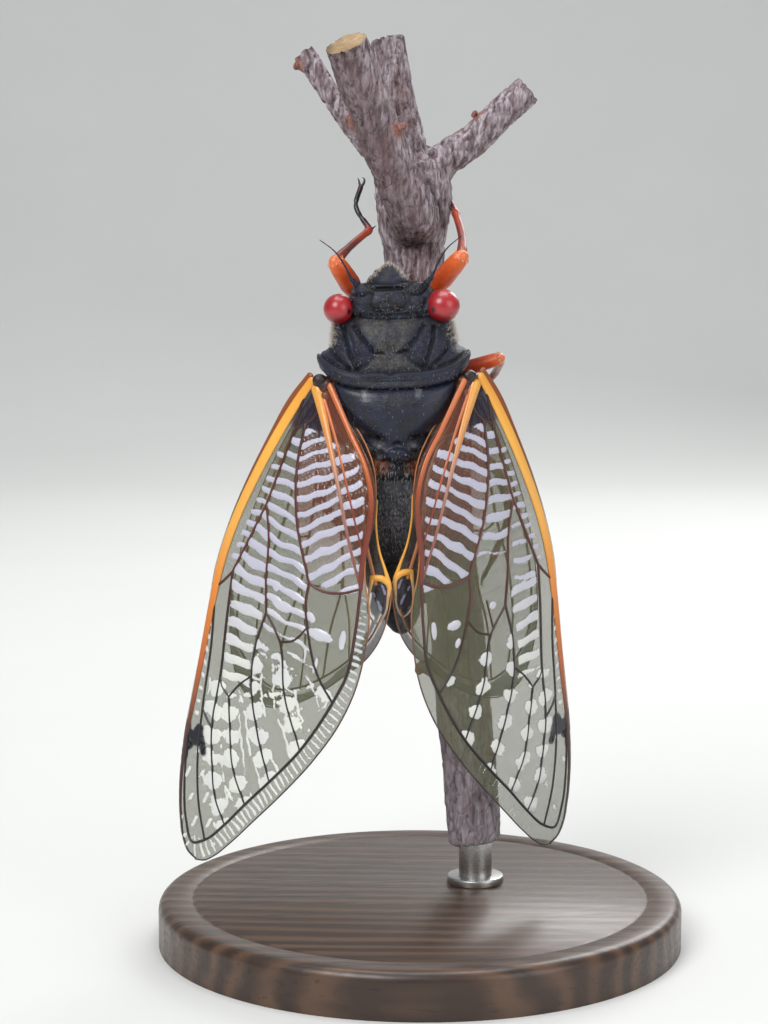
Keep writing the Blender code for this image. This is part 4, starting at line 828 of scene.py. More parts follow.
warmVeins = {
    "claval": ([(0.6, 0.5), (3.2, 2.2), (6.1, 4.0), (10.5, 6.6), (13.2, 8.4)], [0.46, 0.3, 0.17, 0.12, 0.11]),
    "clavalInner": ([(0.7, 0.95), (3.5, 3.1), (6.5, 5.1), (9.0, 6.7), (10.6, 7.75)], [0.2, 0.12, 0.1, 0.09, 0.08]),
    "clavusEdge": ([(0.1, 1.5), (2.9, 4.3), (4.9, 6.3), (7.0, 7.45), (9.0, 7.8), (11.4, 8.0), (13.2, 8.4)],
                   [0.24, 0.2, 0.19, 0.2, 0.22, 0.22, 0.15]),
}
costaRadii = [0.34, 0.40, 0.44, 0.43, 0.43, 0.42, 0.36, 0.27, 0.2, 0.16, 0.12, 0.1, 0.09, 0.08]
costaLine = [(0.2, -0.1), (1.9, -0.85), (4.8, -1.9), (8.6, -3.0), (11.8, -3.7), (15.5, -4.05), (17.2, -4.0),
             (21.0, -3.78), (25.0, -3.52), (28.5, -3.3),
             (32.3, -2.75), (34.6, -2.0), (36.0, -1.3), (36.75, -0.6), (37.0, 0.2)]
hindMargin = [(0.9, 0.3), (5.0, -1.2), (10.0, -2.3), (15.0, -2.6), (19.0, -2.1), (21.8, -1.0), (23.7, 0.6), (24.2, 2.6)]
hindRear = [(0.8, 2.0), (1.8, 3.6), (3.0, 5.4), (4.8, 7.0), (6.8, 7.8), (8.6, 8.3), (10.2, 9.1), (11.6, 10.2),
            (13.1, 11.1), (14.8, 11.3), (16.6, 11.1),
            (18.2, 10.4), (19.6, 9.2), (21.7, 7.2), (23.4, 4.9), (24.2, 2.6)]
hindwingVeins = {
    "front": ([(1.3, 0.8), (5.0, -0.7), (10.0, -1.7), (15.0, -2.0), (19.0, -1.4), (21.0, -0.5)], 0.13, 0.08),
    "radius": ([(1.3, 0.8), (6.0, 0.6), (11.0, 0.5), (15.0, 0.1), (19.0, 0.5), (22.3, 1.7)], 0.13, 0.08),
    "media": ([(1.3, 0.8), (6.0, 2.2), (11.0, 3.0), (14.5, 3.3), (18.5, 3.0), (22.6, 3.4)], 0.13, 0.08),
    "mediaRear": ([(14.5, 3.3), (18.0, 4.8), (21.8, 5.5)], 0.08, 0.08),
    "cubitus": ([(1.3, 0.8), (5.0, 3.6), (9.5, 5.4), (13.3, 6.8), (17.0, 6.8), (20.5, 7.2)], 0.13, 0.08),
    "cubitusRear": ([(13.3, 6.8), (16.0, 8.2), (18.6, 9.0)], 0.08, 0.08),
    "crossFront": ([(11.0, 0.5), (11.4, 1.8), (11.0, 3.0)], 0.08, 0.08),
    "crossRear": ([(14.5, 3.3), (14.2, 5.0), (13.3, 6.8)], 0.08, 0.08),
    "anal": ([(1.3, 0.8), (3.2, 3.8), (6.0, 6.2), (9.5, 7.6), (12.7, 9.6)], 0.16, 0.14),
    "ambient": ([(21.0, -0.5), (22.3, 1.7), (22.6, 3.4), (21.8, 5.5), (20.5, 7.2), (18.6, 9.0), (16.6, 10.3),
                 (14.8, 10.8)], 0.08, 0.08),
}
hindWarm = {
    "lobeFrame": ([(12.3, 9.2), (12.2, 10.2), (12.5, 10.75), (13.3, 10.9), (14.6, 11.0), (15.4, 10.6), (15.0, 9.7),
                   (13.9, 9.3), (12.9, 9.2), (12.3, 9.2)],
                  [0.22, 0.26, 0.2, 0.12, 0.08, 0.07, 0.08, 0.09, 0.14, 0.22]),
    "rearEdge": ([(6.9, 7.9), (8.6, 8.35), (10.2, 9.1), (11.6, 10.15), (12.4, 10.7)], [0.07, 0.08, 0.09, 0.12, 0.2]),
}


def wingSurface(side, drop):  # gives the place and the outward normal for arrays of span and chord
    rootX, *angles = wing[side]
    splay, fall, roof = (math.radians(a) for a in angles)
    out = sides[side]
    span = Vector((out * math.sin(splay) * math.cos(fall), math.sin(fall), -math.cos(splay) * math.cos(fall)))
    flatChord = Vector((-out * math.cos(splay), 0, -math.sin(splay)))
    back = span.cross(flatChord).normalized()
    back *= -1 if back.y > 0 else 1
    chord = flatChord * math.cos(roof) + back * math.sin(roof)
    root = np.array((out * rootX, *wing["root"]))

    def place(s, t):
        s, t = np.asarray(s, float), np.asarray(t, float)
        arch = np.maximum(1 - ((t - wing["camberCentre"]) / wing["camberHalfChord"]) ** 2, -0.5)
        lift = wing["camber"] * arch * rise(0, 9, s) * (1 - 0.35 * rise(22, 36, s))
        points = root + s[..., None] * np.array(span) + t[..., None] * np.array(chord)
        points[..., 1] += drop - lift
        return points

    def normal(s, t, d=0.05):
        s, t = np.asarray(s, float), np.asarray(t, float)
        n = np.cross(place(s + d, t) - place(s - d, t), place(s, t + d) - place(s, t - d))
        n /= np.linalg.norm(n, axis=-1)[..., None]
        return n * np.where(n[..., 1] > 0, -1, 1)[..., None]

    return place, normal


def chordAt(s, *lines):  # the chord of a spanwise line at each span
    points = np.concatenate([smoothPath(line, 80) for line in lines])
    points = points[np.argsort(points[:, 0])]
    return np.interp(s, points[:, 0], points[:, 1])


def wave(s, t, seed=0.0):
    long, middling = np.sin(1.7 * t + 0.6 * s + seed), np.sin(3.1 * t - 1.3 * s + 1 + 2 * seed)
    return 0.5 * long + 0.3 * middling + 0.2 * np.sin(5.3 * s + 2.2 * t + seed)


def cellBars(s, t, low, high, span, spacing, slope, share, ends, seed):
    # painted reflections: white bars across one cell between two veins: above 0 inside a bar
    phase = (s - span[0] + slope * (t - low) + 0.16 * wave(s, t, seed)) / spacing
    bars = np.cos(2 * math.pi * phase) - (1 - 2 * share) + 0.18 * wave(2 * s, t, seed + 1)
    q = (t - low) / np.maximum(high - low, 0.05)
    across = np.minimum((q - ends[0]) * 6, (ends[1] - q) * 6)
    room = np.minimum(across, np.minimum((s - span[0] + 0.4) * 3, (span[1] - s) * 3))
    return np.where((t > low) & (t < high), np.minimum(bars, room), -1.0)


barLooks = {  # spacing, slope, white share and reach across the cell of the painted reflection bars, for each wing
    "left": {"clavus": (0.96, 0.5, 0.40, (0.02, 0.8)), "cubital": (0.98, 0.55, 0.44, (-0.2, 1.2)),
             "medial": (1.05, -0.08, 0.47, (-0.2, 1.2)),
             "costal": (0.93, 0.0, 0.46, (0.5, 0.98)), "outer": (1.15, -0.1, 0.62, (-0.1, 1.2)),
             "apical": (1.26, 0.06, 0.58, (0.05, 0.95)),
             "patches": (1.75, 0.66, 0.9), "wild": 1.0, "stripes": 1.0, "fade": (15.5, 19.0, 0.7),
             "marks": [((17.4, 6.0), (0.42, 1.25), 0.0), ((16.4, 4.9), (0.35, 0.45), 0.5),
                       ((17.2, 8.0), (0.75, 0.28), 0.1), ((19.6, 6.3), (0.7, 0.13), 0.0),
                       ((19.2, 5.2), (0.6, 0.12), 0.2), ((15.2, 1.3), (0.4, 0.3), 0.0),
                       ((16.4, 2.2), (0.4, 0.9), 0.1)]},
    "right": {"clavus": (1.02, 0.5, 0.42, (0.03, 0.72)), "cubital": (1.13, 0.6, 0.46, (-0.2, 1.2)),
              "medial": (1.26, 0.2, 0.43, (0.0, 0.92)),
              "costal": (0.9, 0.0, 0.42, (0.55, 0.98)), "outer": (1.38, 0.2, 0.2, (0.1, 0.8)),
              "apical": (1.33, 0.0, 0.47, (0.08, 0.85)),
              "patches": (2.05, 0.6, 0.72), "wild": 0.35, "stripes": 0.45, "fade": (11.6, 14.4, 1.35),
              "marks": [((17.2, 6.1), (0.35, 0.7), 0.0), ((16.9, 2.2), (0.3, 0.32), 0.0),
                        ((18.6, 6.0), (0.35, 0.3), 0.3), ((17.0, 8.0), (0.7, 0.25), 0.1)]},
}


def forewingMarks(side, s, t):
    look = barLooks[side]
    v = {name: row[0] for name, row in forewingVeins.items()}
    v["claval"], v["clavusEdge"] = warmVeins["claval"][0], warmVeins["clavusEdge"][0]
    costa = chordAt(s, costaLine)
    front = chordAt(s, v["basalFront"], v["media"], v["mediaOuter"], v["media1"])
    inner = chordAt(s, v["basalFront"], v["media"], v["mediaInner"], v["media3"])
    cubitus, claval = chordAt(s, v["cubitus"], v["cubitus1"]), chordAt(s, v["claval"])
    edge, ambient = chordAt(s, v["clavusEdge"]), chordAt(s, v["ambient"][:9])
    white = np.full(s.shape, -1.0)
    for low, high, span, key, seed in (
        (claval, edge, (4.3, 12.6), "clavus", 0.3), (cubitus, claval, (3.9, 14.0), "cubital", 1.1),
        (inner, cubitus, (4.6, 20.5), "medial", 2.3),
        (costa, front, (6.0, 15.2), "costal", 3.2), (front, inner, (10.6, 16.6), "outer", 4.1),
        (front, inner, (16.6, 23.2), "apical", 5.6),
    ):
        spacing, slope, share, ends = look[key]
        start, stop, loss = look["fade"]
        fade = share * (1 - loss * rise(start, stop, s)) if key == "medial" else share
        white = np.maximum(white, cellBars(s, t, low, high, span, spacing, slope, fade, ends, seed))
    # beyond the cross veins, painted reflections as patches that straddle the long veins, joined by thin lengthwise
    # lines
    white = np.where((s > 18.4 + 0.3 * t) & (t > inner), -1.0, white)
    near, station = np.full(s.shape, 9.0), 0 * s
    for k, name in enumerate(("media1", "media2", "media3", "media4", "cubitus1")):
        gap, along = nearestOn(s, t, smoothPath(v[name], 60))
        station, near = np.where(gap < near, along + 0.6 * k, station), np.minimum(near, gap)
    distal = np.where(t > inner, rise(18.4, 19.4, s - 0.25 * t), rise(22.8, 23.8, s)) * (1 - rise(33.8, 35.6, s))
    step, long, wide = look["patches"]
    turn = (station + 0.2 * wave(s, t, 2.0)) / step
    ragged = 0.4 * wave(1.9 * s, 1.7 * t, 4) + 0.25 * wave(3.7 * s, 3.1 * t, 6)
    patches = 1 - np.hypot((turn - np.round(turn)) * step / long, near / wide) ** 1.7 + ragged
    threads = 0.55 - np.abs(near - 0.95 - 0.22 * wave(s, t, 6)) * 5.5 - 1.5 * rise(0.15, 0.5, wave(0.7 * s, 1.2 * t, 8))
    rungs = np.minimum(0.5 - np.abs(turn - np.floor(turn) - 0.5 + 0.12 * wave(2 * s, 2 * t, 3)) * step * 4.5,
                       (1.4 - near) * 3)
    net = np.maximum(threads, rungs - 2.0 * rise(22, 25, s - 0.3 * t))
    wild = np.maximum(patches, net if look["wild"] > 0.5 else -1.0)
    white = np.maximum(white, np.where((t < ambient) & (t > front - 1.0), wild - 3 * (1 - distal), -1.0))
    # painted reflections as single marks in the rear cell, fine stripes in the border, and dashes along the front cell
    for (s0, t0), (halfS, halfT), tilt in look["marks"]:
        ds, dt = s - s0, t - t0 - tilt * (s - s0)
        white = np.maximum(white, 1 - np.hypot(ds / halfS, dt / halfT) ** 2 + 0.25 * wave(2 * s, 2 * t, s0))
    gap, along = nearestOn(s, t, smoothPath(v["ambient"], 120))
    rim = lineGap(s, t, smoothPath(rearMargin, 120))
    outside = (t > ambient) & (s > 13.4) | (s > 35.4)
    fine = (np.cos(2 * math.pi * (along + 0.1 * wave(s, t, 7)) / 0.5) - 0.3 + 0.35 * wave(s, t, 7)
            - 1.3 * (1 - look["stripes"]))
    white = np.maximum(white, np.where(outside, np.minimum(np.minimum(fine, (gap - 0.12) * 5), (rim - 0.18) * 5), -1.0))
    sector = chordAt(s, v["radialSector"])
    dots = np.cos(2 * math.pi * (s + 0.2 * wave(s, t, 8)) / 0.95) - 0.35
    frontCell = (s > 17.8) & (s < 27.4) & (t < sector)
    q = (t - costa) / np.maximum(sector - costa, 0.05)
    white = np.maximum(white, np.where(frontCell, np.minimum(dots, 1.1 - np.abs(q - 0.55) * 5), -1.0))
    apex = (s > 28.8) & (t < chordAt(s, v["media1"]) - 0.3) & (s < 35.6)
    blades = np.cos(2 * math.pi * (s + 0.3 * t) / 1.9) - 0.25 + 0.4 * wave(s, 2 * t, 9) - 1.1 * (1 - look["wild"])
    white = np.maximum(white, np.where(apex, np.minimum(blades, 0.9 - 2.4 * np.abs(np.sin(2.6 * t + 0.6 * s))), -1.0))
    smoke = np.maximum((1 - rise(3.2, 4.6, s)) * (t < claval) * (t > costa),
                       0.5 * (1 - rise(4.6, 6.5, s)) * (t > front) * (t < cubitus))
    # a warm tint behind the claval vein at the root; the cells behind the cubitus in the base half are darkened with
    # painted shade, where the hindwing lies under
    warm = np.maximum((1 - rise(2.5, 6.5, s)) * rise(-0.3, 0.3, t - claval),
                      0.85 * (1 - rise(9, 14.5, s)) * (t > cubitus))
    black = np.max([rise(width + 0.1, width - 0.12, lineGap(s, t, line)) for line, width in wing["spot"]], axis=0)
    ripple = np.where(white > -0.9, np.clip(white, -0.6, 0.8), 0.0)
    return {"white": white, "smoke": smoke, "warm": np.clip(warm, 0, 1), "spot": black, "ripple": ripple}


def hindwingMarks(side, s, t):
    inLobe = np.hypot((s - 13.7) / 1.35, (t - 10.15) / 0.72)
    dark = 1 - rise(0.85, 1.05, inLobe)
    gap = lineGap(s, t, smoothPath(hindwingVeins["ambient"][0], 80))
    outside = (s > 14.0) & (np.hypot((s - 10) / 13.2, (t - 3.6) / 7.4) > 0.97)
    smoke = np.maximum(0.85 * rise(0.0, 0.25, gap) * outside, 0.95 * dark)
    anal = chordAt(s, hindwingVeins["anal"][0])
    smoke = np.maximum(smoke, 0.7 * rise(0.0, 0.3, t - anal) * (s < 13))
    warm = 0.6 * (1 - rise(4, 12, s))
    # painted reflections: pale streaks across the dark lobe
    white = np.where(dark > 0.5, np.cos(5 * (s - t)) - 0.75 + 0.5 * wave(2 * s, 3 * t, 1), -1.0)
    return {"white": white, "smoke": smoke, "warm": warm, "spot": 0 * s, "ripple": 0.3 * wave(3 * s, 3 * t, 2)}


def makeMembrane(name, side, front, rear, tip, grid, drop, marks, finish, replaces):
    # a fine grid warped between the front and rear margins
    place, normal = wingSurface(side, drop)
    bm = bmesh.new()
    bmesh.ops.create_grid(bm, x_segments=grid[0], y_segments=grid[1], size=1)
    u, w, _ = np.array([v.co for v in bm.verts]).T
    u, w = (u + 1) / 2, (w + 1) / 2
    start, end = max(front[0][0], rear[0][0]), tip[0]
    s = start + (end - start) * (0.62 * u + 0.38 * (1 - (1 - u) ** 2))
    low, high = chordAt(s, front), chordAt(s, rear)
    t = low + (high - low) * w
    t = np.where(u > 0.9999, tip[1], t)
    fields = marks(side, s, t)
    points = place(s, t) + normal(s, t) * (wing["ripple"] * fields["ripple"])[:, None]
    flat = {}
    uv = bm.loops.layers.uv.new("wingMap")
    layers = {key: bm.verts.layers.float.new(key) for key in fields}
    for k, vert in enumerate(bm.verts):
        vert.co = points[k]
        for key, layer in layers.items():
            vert[layer] = float(fields[key][k])
        flat[vert] = (s[k] / wingReach, (t[k] + wing["mapShift"]) / wingReach)
    for f in bm.faces:
        for loop in f.loops:
            loop[uv].uv = flat[loop.vert]
    bmesh.ops.remove_doubles(bm, verts=bm.verts, dist=1e-4)
    bmesh.ops.recalc_face_normals(bm, faces=bm.faces)
    if sum(f.normal.y for f in bm.faces) > 0:
        bmesh.ops.reverse_faces(bm, faces=bm.faces)
    piece = addPiece(name, bm, finish, replaces, turnOut=False)
    wall = piece.modifiers.new("wall", "SOLIDIFY")
    wall.thickness, wall.offset = wing["thick"] * 0.001, 0.0


def wingTube(bm, side, drop, line, radii, count=8, flat=0.85, lift=0.0, steps=None, marks=None):
    place, normal = wingSurface(side, drop)
    steps = steps or max(6, int(np.linalg.norm(np.diff(np.array(line), axis=0), axis=1).sum() / 0.35))
    radii = taper(len(line), np.linspace(0, 1, len(radii)), radii)
    path = smoothPath([(*p, r) for p, r in zip(line, radii)], steps, 2)
    s, t, r = path.T
    n = normal(s, t)
    extra = {key: value(s, t) for key, value in (marks or {}).items()}
    sweep(bm, place(s, t) + n * lift, r, count, ups=n, flat=flat, marks={"span": s, **extra})


rimStops = [(0, (0.42, 0.14, 0.03)), (14, (0.45, 0.17, 0.05)), (17, (0.16, 0.06, 0.03)), (24, (0.05, 0.025, 0.02)),
            (37, (0.02, 0.014, 0.012))]
veinStops = [(0, (0.030, 0.012, 0.010)), (4, (0.050, 0.016, 0.012)), (9, (0.10, 0.024, 0.012)),
             (15, (0.085, 0.020, 0.012)), (19, (0.03, 0.012, 0.010)), (24, (0.012, 0.009, 0.009)),
             (40, (0.010, 0.008, 0.008))]
costaStops = [(0, (0.86, 0.36, 0.045)), (5, (0.95, 0.47, 0.075)), (12, (0.95, 0.45, 0.08)), (17, (0.80, 0.27, 0.045)),
              (23, (0.52, 0.13, 0.03)), (28, (0.09, 0.025, 0.015)),
              (37, (0.02, 0.012, 0.010))]
warmStops = [(0, (0.86, 0.42, 0.06)), (3, (0.72, 0.30, 0.08)), (7, (0.42, 0.20, 0.15)), (11, (0.26, 0.09, 0.07)),
             (20, (0.08, 0.02, 0.015))]
edgeStops = [(0, (0.62, 0.17, 0.045)), (5, (0.50, 0.11, 0.02)), (8, (0.22, 0.035, 0.015)), (13, (0.16, 0.028, 0.016)),
             (20, (0.08, 0.02, 0.015))]
hindStops = [(0, (0.70, 0.25, 0.06)), (8, (0.60, 0.22, 0.08)), (13, (0.40, 0.16, 0.06)), (18, (0.10, 0.05, 0.035)),
             (24, (0.03, 0.02, 0.02))]
veinSkin, rimSkin = veinFinish("darkVein", veinStops), veinFinish("wingRim", rimStops)
costaSkin, clavalSkin = veinFinish("costaVein", costaStops, 0.3), veinFinish("clavalVein", warmStops)
edgeSkin, hindSkin = veinFinish("clavusEdgeVein", edgeStops), veinFinish("hindVein", hindStops)
lobeSkin = veinFinish("lobeFrame", [(0, (0.85, 0.4, 0.06)), (12.4, (0.90, 0.42, 0.06)), (13.6, (0.45, 0.3, 0.2)),
                                    (16, (0.35, 0.3, 0.28))])
foreLook = {"clear": (0.105, 0.112, 0.052), "clearDeep": (0.135, 0.132, 0.065), "warm": (0.16, 0.045, 0.025),
            "smoke": (0.022, 0.018, 0.034),
            "white": (0.86, 0.87, 0.79), "whiteDeep": (0.60, 0.59, 0.71), "cover": (0.44, 0.87)}
hindLook = {"clear": (0.20, 0.17, 0.10), "clearDeep": (0.17, 0.12, 0.07), "warm": (0.35, 0.13, 0.05),
            "smoke": (0.020, 0.018, 0.030),
            "white": (0.45, 0.43, 0.52), "whiteDeep": (0.32, 0.30, 0.42), "cover": (0.2, 0.6)}
foreSkin = membraneFinish("forewingMembrane", foreLook)
hindMembraneSkin = membraneFinish("hindwingMembrane", hindLook)

for side in sides:
    makeMembrane(f"forewing_{side}_membrane", side, costalMargin, rearMargin, (37.1, 0.2), (236, 84), 0.0,
                 forewingMarks, foreSkin, (f"forewing_{side}",))
    bm = newMesh(*veinMarks)
    for line, rootRadius, tipRadius in forewingVeins.values():
        wingTube(bm, side, 0.0, line, [rootRadius, tipRadius])
    if side == "right":
        wingTube(bm, side, 0.0, [(16.4, 2.7), (17.5, 2.6), (18.6, 2.5)], [0.08, 0.08])
    addPiece(f"forewing_{side}_veins", bm, veinSkin)
    bm = newMesh(*veinMarks)
    wingTube(bm, side, 0.0, costaLine, costaRadii, 20, 0.5, steps=110)
    addPiece(f"forewing_{side}_costa", bm, costaSkin)
    bm = newMesh(*veinMarks)
    outerEdge = [(s, t + 0.22) for s, t in costalMargin[:3]] + [(8.6, -3.45), (11.8, -4.12), (15.5, -4.4)]
    wingTube(bm, side, 0.0, outerEdge, [0.3, 0.34, 0.3, 0.18, 0.1, 0.05], 12, 0.5, lift=-0.05,
             marks={"outer": lambda s, t: 1 - 0.5 * rise(8, 15, s)})
    addPiece(f"forewing_{side}_frontRim", bm, costaSkin)
    for name, skin in (("claval", clavalSkin), ("clavalInner", edgeSkin), ("clavusEdge", edgeSkin)):
        bm = newMesh(*veinMarks)
        wingTube(bm, side, 0.0, *warmVeins[name], 14, 0.7)
        addPiece(f"forewing_{side}_{name}", bm, skin)
    bm = newMesh(*veinMarks)
    wingTube(bm, side, 0.0, rearMargin[6:], [0.06, 0.055, 0.05], 6, 0.9)
    addPiece(f"forewing_{side}_rearRim", bm, rimSkin)
    drop = wing["hindDrop"]
    makeMembrane(f"hindwing_{side}_membrane", side, hindMargin, hindRear, (24.2, 2.6), (150, 84), drop, hindwingMarks,
                 hindMembraneSkin, (f"hindwing_{side}",))
    bm = newMesh(*veinMarks)
    for line, rootRadius, tipRadius in hindwingVeins.values():
        wingTube(bm, side, drop, line, [rootRadius, tipRadius])
    wingTube(bm, side, drop, hindMargin + hindRear[::-1][1:], [0.05, 0.05], 6, 0.9)
    addPiece(f"hindwing_{side}_veins", bm, hindSkin)
    bm = newMesh(*veinMarks)
    for line, radii in hindWarm.values():
        wingTube(bm, side, drop, line, radii, 10, 0.8)
    addPiece(f"hindwing_{side}_lobe", bm, lobeSkin)
print("wings ready")

# ---- legs ----
# hip, start of the thigh, knee, middle of the shank, ankle, any bend of the foot, claw;
# then the thigh's girth, the spines of thigh and shank, and the tones of thigh, shank and foot
legs = {
    "front_left": ([(-1.7, 3.1, 2.2), (-2.3, 3.3, 5.0), (-4.1, 1.9, 8.0), (-2.9, 3.2, 9.1), (-1.5, 4.7, 10.2),
                    (-2.5, 5.4, 12.0), (-2.1, 6.2, 13.4)],
                   0.85, [(0.45, 0.5), (0.75, 0.35)], (), (0.05, 0.5, 1.0)),
    "front_right": ([(1.7, 3.1, 2.2), (2.7, 3.2, 5.2), (5.2, 1.6, 8.1), (5.3, 3.6, 9.4), (4.9, 6.4, 11.4),
                     (4.5, 8.2, 12.5)],
                    0.85, [(0.45, 0.5), (0.75, 0.35)], (), (0.03, 0.45, 0.55)),
    "middle_left": ([(-2.0, 3.3, -1.6), (-3.6, 4.0, -2.0), (-6.4, 4.0, -3.4), (-3.6, 6.4, -6.0), (0.2, 7.2, -8.4),
                     (1.35, 7.6, -9.4)],
                    0.62, [], (), (0.15, 0.4, 0.85)),
    "middle_right": ([(2.0, 3.3, -1.4), (4.2, 3.6, -0.6), (7.9, 2.6, 0.5), (7.6, 5.6, -0.8), (6.2, 8.0, -2.4),
                      (5.3, 8.9, -3.5)],
                     0.62, [], (), (0.15, 0.4, 0.85)),
    "hind_left": ([(-1.8, 3.2, -5.4), (-3.6, 4.2, -6.8), (-6.0, 5.0, -9.8), (-3.6, 6.8, -13.2), (0.7, 7.7, -17.2),
                   (2.0, 7.9, -18.4)],
                  0.6, [], (0.3, 0.5, 0.7), (0.25, 0.4, 0.85)),
    "hind_right": ([(1.8, 3.2, -5.0), (4.4, 4.6, -5.8), (7.6, 5.2, -8.0), (8.4, 6.8, -11.6), (7.2, 8.4, -15.4),
                    (6.5, 9.0, -16.8)],
                   0.6, [], (0.3, 0.5, 0.7), (0.25, 0.4, 0.85)),
}
limb = {  # girth along each part
    "hip": ([0, 0.5, 0.85, 1], [0.72, 0.62, 0.5, 0.42]),
    "shank": ([0, 0.1, 0.35, 0.85, 0.95, 1], [0.34, 0.4, 0.3, 0.27, 0.33, 0.26]),
    "foot": ([0, 0.5, 1], [0.24, 0.19, 0.2]), "claw": ([0, 0.6, 1], [0.12, 0.08, 0.02]),
    "spine": [0.3, 0.19, 0.05], "spur": [0.12, 0.08, 0.02], "grains": 11, "grain": (0.09, 0.09, 0.09),
}
for name, (joints, girth, thighSpines, shankSpines, tones) in legs.items():
    hip, bend, knee, middle, ankle, *toes, claw = (Vector(p) for p in joints)
    bm = newMesh(*legMarks)
    line = smoothPath([hip, hip.lerp(bend, 0.55), bend], 16)
    sweep(bm, line, taper(16, *limb["hip"]), 18, marks={"tone": [tones[0] + 0.25] * 16})
    line = smoothPath([bend, bend.lerp(knee, 0.5), knee], 34)
    u = np.linspace(0, 1, 34)
    radii = np.interp(u, [0, 0.12, 0.42, 0.8, 0.95, 1], [0.42, 0.6, girth, girth * 0.92, girth * 0.82, girth * 0.68])
    sweep(bm, line, radii, 22, flat=0.86,
          marks={"tone": tones[0] + 0.18 * rise(0.0, 0.5, 1 - u), "pale": 0.16 * rise(0.95, 1.0, u)})
    rimTurn = (knee - bend).to_track_quat("Z", "Y")
    for k in range(limb["grains"]):  # small grains round the knee's rim
        away = rimTurn @ Vector((math.cos(k * 0.571), math.sin(k * 0.571), 0.03 * (k % 3) - 0.1)) * girth * 0.72
        ball(bm, knee + away, limb["grain"], 6, 8, {"tone": tones[0], "pale": 0.5})
    side = ((middle - knee) - (knee - bend)).normalized()
    for share, length in thighSpines:
        root = bend.lerp(knee, share)
        spine = [root + side * girth * 0.3, root + side * (girth + length * 0.5), root + side * (girth + length)]
        sweep(bm, spine, limb["spine"], 10, marks={"tone": [tones[0], 0.3, 0.8]})
    addPiece(f"leg_{name}_thigh", bm, legSkin, (f"leg_{name}_femur",), finer=1)
    bm = newMesh(*legMarks)
    start = knee + (middle - knee).normalized() * 0.15
    line = smoothPath([start, middle, ankle], 46)
    u = np.linspace(0, 1, 46)
    sweep(bm, line, taper(46, *limb["shank"]), 18,
          marks={"tone": tones[1] + 0.12 * np.sin(u * 5), "pale": 0.25 * rise(0.08, 0.0, u)})
    foot = smoothPath([ankle, *(toes or [ankle.lerp(claw, 0.5)]), claw], 30)
    u = np.linspace(0, 1, 30)
    joint = 1 - 0.28 * (crease(u - 0.3, 0.035) + crease(u - 0.62, 0.035))
    tone = tones[1] + (tones[2] - tones[1]) * rise(0.0, 0.25, u)
    sweep(bm, foot, taper(30, *limb["foot"]) * joint, 14, marks={"tone": tone})
    across = (knee - bend).cross(ankle - middle).normalized()
    hook = (claw - (toes or [ankle])[0]).normalized()
    for share in (*shankSpines, 0.97):
        root = middle.lerp(ankle, share)
        for turn in (-1, 1):
            spur = [root, root + across * 0.35 * turn + hook * 0.12, root + across * 0.62 * turn + hook * 0.32]
            sweep(bm, spur, limb["spur"], 8, marks={"tone": [0.8, 0.9, 1.0]})
    addPiece(f"leg_{name}_shank", bm, legSkin, (f"leg_{name}_tibia",), finer=1)
    bm = newMesh(*legMarks)
    down = hook.cross(across)
    for turn in (-1, 1):
        path = smoothPath([claw, claw + hook * 0.3 + across * 0.24 * turn,
                           claw + hook * 0.55 + across * 0.3 * turn + down * 0.1,
                           claw + hook * 0.62 + across * 0.26 * turn + down * 0.3], 14)
        sweep(bm, path, taper(14, *limb["claw"]), 10, marks={"tone": [1.0] * 14})
    addPiece(f"leg_{name}_claws", bm, legSkin)
print("legs ready")

# ---- twig ----
twigPlace = toMetres @ Matrix.Translation(insect["place"])
foot, fork = Vector((6.4, 7.8, 6.8 - insect["place"][2])), Vector((1.5, 7.4, 13.8))
twig = {
    "stem": ([foot, foot.lerp(fork, 0.5), fork - Vector((0, 0, 5.5)), fork - Vector((0, 0, 2.0)), fork,
              fork + Vector((0, 0, 1.6))],
             [(0, 2.12), (0.5, 2.08), (0.8, 2.12), (0.875, 2.3), (0.9, 2.65), (0.95, 2.95), (0.98, 2.9), (1, 2.2)]),
    # each branch starts and ends this far from the fork, then its girth, and any points between
    "stubs": [((0.1, 0.2, -3.3), (-5.0, -6.0, 9.8), 1.7, [(0.0, -2.7, -2.8), (-1.2, -3.5, 0.1), (-2.7, -4.3, 3.8)]),
              ((0, 0, 0), (-2.0, 2.0, 10.6), 1.4, []), ((0.6, 0, 0.4), (8.6, 0.6, 6.8), 1.25, []),
              ((-1.2, 0.8, 0), (-8.4, 2.4, 9.6), 0.92, [])],
    "stubGirth": ([0, 0.2, 0.4, 1], [1.1, 1.12, 1.0, 0.95]), "steps": 60, "stubSteps": 30, "stemCut": 3.2,
    "voxel": 0.24,
    # buds of the stem: share of its length, turn and size; buds of a branch: which, share, way and size
    "buds": [(0.27, 185, 0.8), (0.8, 40, 0.8), (0.5, 100, 0.55), (0.14, 320, 0.5), (0.63, 255, 0.4)],
    "stubBuds": [(0, 0.62, (0.8, -0.6, 0.1), 0.55), (3, 0.45, (0.2, -0.9, 0.3), 0.6), (3, 0.93, (-0.9, -0.3, 0), 0.5),
                 (2, 0.55, (-0.2, -0.2, 0.9), 0.4)],
}
bm = newMesh()
points, stations = twig["stem"]
stemLine = smoothPath(points, twig["steps"])
sweep(bm, stemLine, taper(twig["steps"], *zip(*stations)), 40, roundEnds=(False, False))
ends = [(Vector(stemLine[0]), (Vector(stemLine[0]) - Vector(stemLine[1])).normalized(), twig["stemCut"])]
stubLines = []
